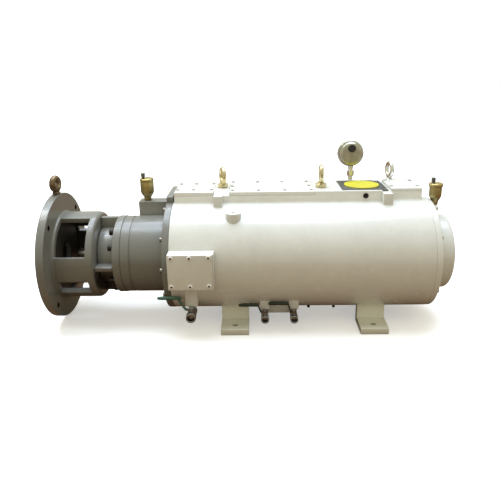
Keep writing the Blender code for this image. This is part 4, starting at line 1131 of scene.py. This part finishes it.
for tag, x in (("1", 0.1976), ("2", 0.2836)):
    head = move(hex_head(0.0092, 0.0065), Matrix.Translation((x, -0.080, 0.0565)) @ Matrix.Rotation(math.pi, 4, "X"))
    pin = lathe([(0.0560, 0), (0.0560, 0.0050), (0.0592, 0.0050), (0.0592, 0)], 24, "Z", (x, -0.080, 0))
    cut(pin, lathe([(CASE_X0, CASE_R + 0.0001), (CASE_X1, CASE_R + 0.0001)], 192, "X", C))
    done("drain_screw_" + tag, merged([head, pin]), BLACK_BOLT, node="drain_plug_" + tag)

# ================================================================ feet
rough = [0.0031, 0.0036, 0.0033, 0.0038, 0.0034, 0.0030, 0.0037, 0.0035, 0.0032, 0.0036, 0.0031, 0.0035, 0.0038, 0.0033, 0.0036, 0.0032, 0.0035]
for x, end in zip(FOOT_X, ("drive_end", "far_end")):
    for s, side in ((-1, "front"), (1, "rear")):
        outline = rounded([(s * FOOT_Y0, 0.0), (s * FOOT_Y1, 0.0), (s * FOOT_Y1, FOOT_T), (s * FOOT_WALL_Y, FOOT_T), (s * FOOT_WALL_Y, 0.10), (s * FOOT_Y0, 0.10)],
                          [0.0020, 0.0020, 0.0024, 0.0050, 0.0020, 0.0020], 3)
        foot = prism(outline, x, x + FOOT_W, "X", 0.0010, 2)
        cut(foot, lathe([(CASE_X0, CASE_R + GAP), (CASE_X1, CASE_R + GAP)], 192, "X", C))
        cut(foot, lathe([(-0.01, FOOT_HOLE_R), (FOOT_T - 0.0008, FOOT_HOLE_R), (FOOT_T + 0.0002, FOOT_HOLE_R + 0.001), (0.04, FOOT_HOLE_R + 0.001)], 48, "Z", (x + FOOT_W / 2, s * FOOT_HOLE_Y, 0)))
        # weld between the foot's wall and the casing
        yw = FOOT_WALL_Y + 0.0010
        zw = AXIS_Z - math.sqrt((CASE_R + 0.0012) ** 2 - yw ** 2)
        path = [(x + 0.002 + (FOOT_W - 0.004) * i / 48, s * yw, zw + 0.0003 * math.sin(i * 2.1)) for i in range(49)]
        bead = tube(path, [rough[i % 17] * (0.55 if i in (0, 48) else 1.0) for i in range(49)], 12)
        done("foot_%s_%s_plate" % (side, end), merged([foot, bead]), FOOT, node="foot_%s_%s" % (side, end), sharp=38)


# ================================================================ camera, light, floor
def camera():
    pitch, yaw, roll = 0.2989, -0.0123, -0.0133
    cp, sp, cy, sy = math.cos(pitch), math.sin(pitch), math.cos(yaw), math.sin(yaw)
    fwd = Vector((sy * cp, cy * cp, -sp))
    right = Vector((cy, -sy, 0))
    up = right.cross(fwd)
    r2 = right * math.cos(roll) + up * math.sin(roll)
    u2 = -right * math.sin(roll) + up * math.cos(roll)
    cam = bpy.data.cameras.new("camera")
    ob = bpy.data.objects.new("camera", cam)
    bpy.context.scene.collection.objects.link(ob)
    m = Matrix.Identity(4)
    for i, v in enumerate((r2, u2, -fwd)):
        for j in range(3):
            m[j][i] = v[j]
    m.translation = Vector((0.0237, -1.7558, 0.8498))
    ob.matrix_world = m
    cam.sensor_width = 36.0
    cam.sensor_fit = "HORIZONTAL"
    cam.lens = 531.78 / 500 * 36.0
    cam.shift_x = (250.0 - 250.98) / 500
    cam.shift_y = (229.10 - 250.0) / 500
    cam.clip_start, cam.clip_end = 0.05, 60.0
    bpy.context.scene.camera = ob


camera()


def area(name, at, aim, size, power, colour=(1, 1, 1)):
    l = bpy.data.lights.new(name, "AREA")
    l.shape = "RECTANGLE"
    l.size, l.size_y = size
    l.energy = power
    l.color = colour
    ob = bpy.data.objects.new(name, l)
    bpy.context.scene.collection.objects.link(ob)
    ob.location = at
    ob.rotation_mode = "QUATERNION"
    ob.rotation_quaternion = (Vector(aim) - Vector(at)).to_track_quat("-Z", "Y")
    return ob


area("tube_light_front", (-0.4, 0.27, 2.8), (-0.4, 0.27, 0), (3.0, 0.12), 9, (0.95, 0.97, 1.0))
area("tube_light_back", (-0.4, 1.55, 2.8), (-0.4, 1.2, 0), (3.0, 0.12), 11, (0.95, 0.97, 1.0))
area("panel_light_left", (-1.75, 0.10, 2.8), (-1.2, 0.05, 0), (1.0, 0.34), 15, (1.0, 0.98, 0.95))

sky = bpy.data.lights.new("hall_roof", "SUN")
sky.energy, sky.color, sky.angle = 2.94, (0.673, 0.803, 1.0), 0.87
sky_ob = bpy.data.objects.new("hall_roof", sky)
bpy.context.scene.collection.objects.link(sky_ob)
sky_ob.rotation_mode = "QUATERNION"
sky_ob.rotation_quaternion = Vector((0, -math.sin(math.radians(15)), -math.cos(math.radians(15)))).to_track_quat("-Z", "Y")

world = bpy.data.worlds.new("hall")
bpy.context.scene.world = world
world.use_nodes = True
wt = world.node_tree
seen = wt.nodes["Background"]
seen.inputs["Color"].default_value = (1.0, 1.0, 1.0, 1.0)
fill = wt.nodes.new("ShaderNodeBackground")
fill.inputs["Color"].default_value = (0.70, 0.67, 0.52, 1.0)
pick = wt.nodes.new("ShaderNodeMixShader")
wt.links.new(wt.nodes.new("ShaderNodeLightPath").outputs["Is Camera Ray"], pick.inputs[0])
wt.links.new(fill.outputs[0], pick.inputs[1])
wt.links.new(seen.outputs[0], pick.inputs[2])
wt.links.new(pick.outputs[0], wt.nodes["World Output"].inputs["Surface"])


def plane(name, x0, x1, y0, y1, z, mat):
    bm = bmesh.new()
    bm.faces.new([bm.verts.new(p) for p in ((x0, y0, z), (x1, y0, z), (x1, y1, z), (x0, y1, z))])
    me = bpy.data.meshes.new(name)
    bm.to_mesh(me)
    bm.free()
    me.materials.append(mat)
    ob = bpy.data.objects.new(name, me)
    bpy.context.scene.collection.objects.link(ob)
    return ob


k = Mat("floor")
floor_mat = k.set(Base_Color=(0.93, 0.93, 0.93), Roughness=0.8, Specular_IOR_Level=0.2, Emission_Color=(1.0, 1.0, 1.0), Emission_Strength=0.38)
floor = plane("floor", -14, 14, -10, 16, 0.0, floor_mat)
floor.visible_diffuse = floor.visible_glossy = floor.visible_shadow = False
k = Mat("warm_floor_card")
card_mat = k.set(Base_Color=(0.160, 0.078, 0.030), Roughness=0.7, Specular_IOR_Level=0.2)
card = plane("warm_floor_card", -6, 6, -5, 5, -0.001, card_mat)
card.visible_camera = False

scene = bpy.context.scene
scene.view_settings.view_transform = "Standard"
scene.view_settings.look = "None"
scene.view_settings.exposure = 0.0
scene.view_settings.gamma = 1.0

for name, node in NODES.items():
    if node.hide_render:
        continue
    me = node.data
    slot_name = next((p["material_slot"] for p in frame["record"]["subparts"] if p["node"] == name), None)
    by_slot = {"gear_grey": GREY, "casing_white": WHITE, "machined_steel": STEEL, "dark_steel": BLACK_BOLT, "brass": BRASS, "yellow_zinc": ZINC,
               "pale_zinc": PALE_ZINC, "nickel": NICKEL, "grip_teal": TEAL, "grip_dark": DARK_VINYL, "cap_yellow": YELLOW, "board_black": BOARD,
               "gauge_steel": GAUGE_STEEL, "gauge_rubber": RUBBER}
    me.materials.clear()
    me.materials.append(by_slot.get(slot_name, WHITE))
    me.shade_smooth()
    me.set_sharp_from_angle(angle=math.radians(35))
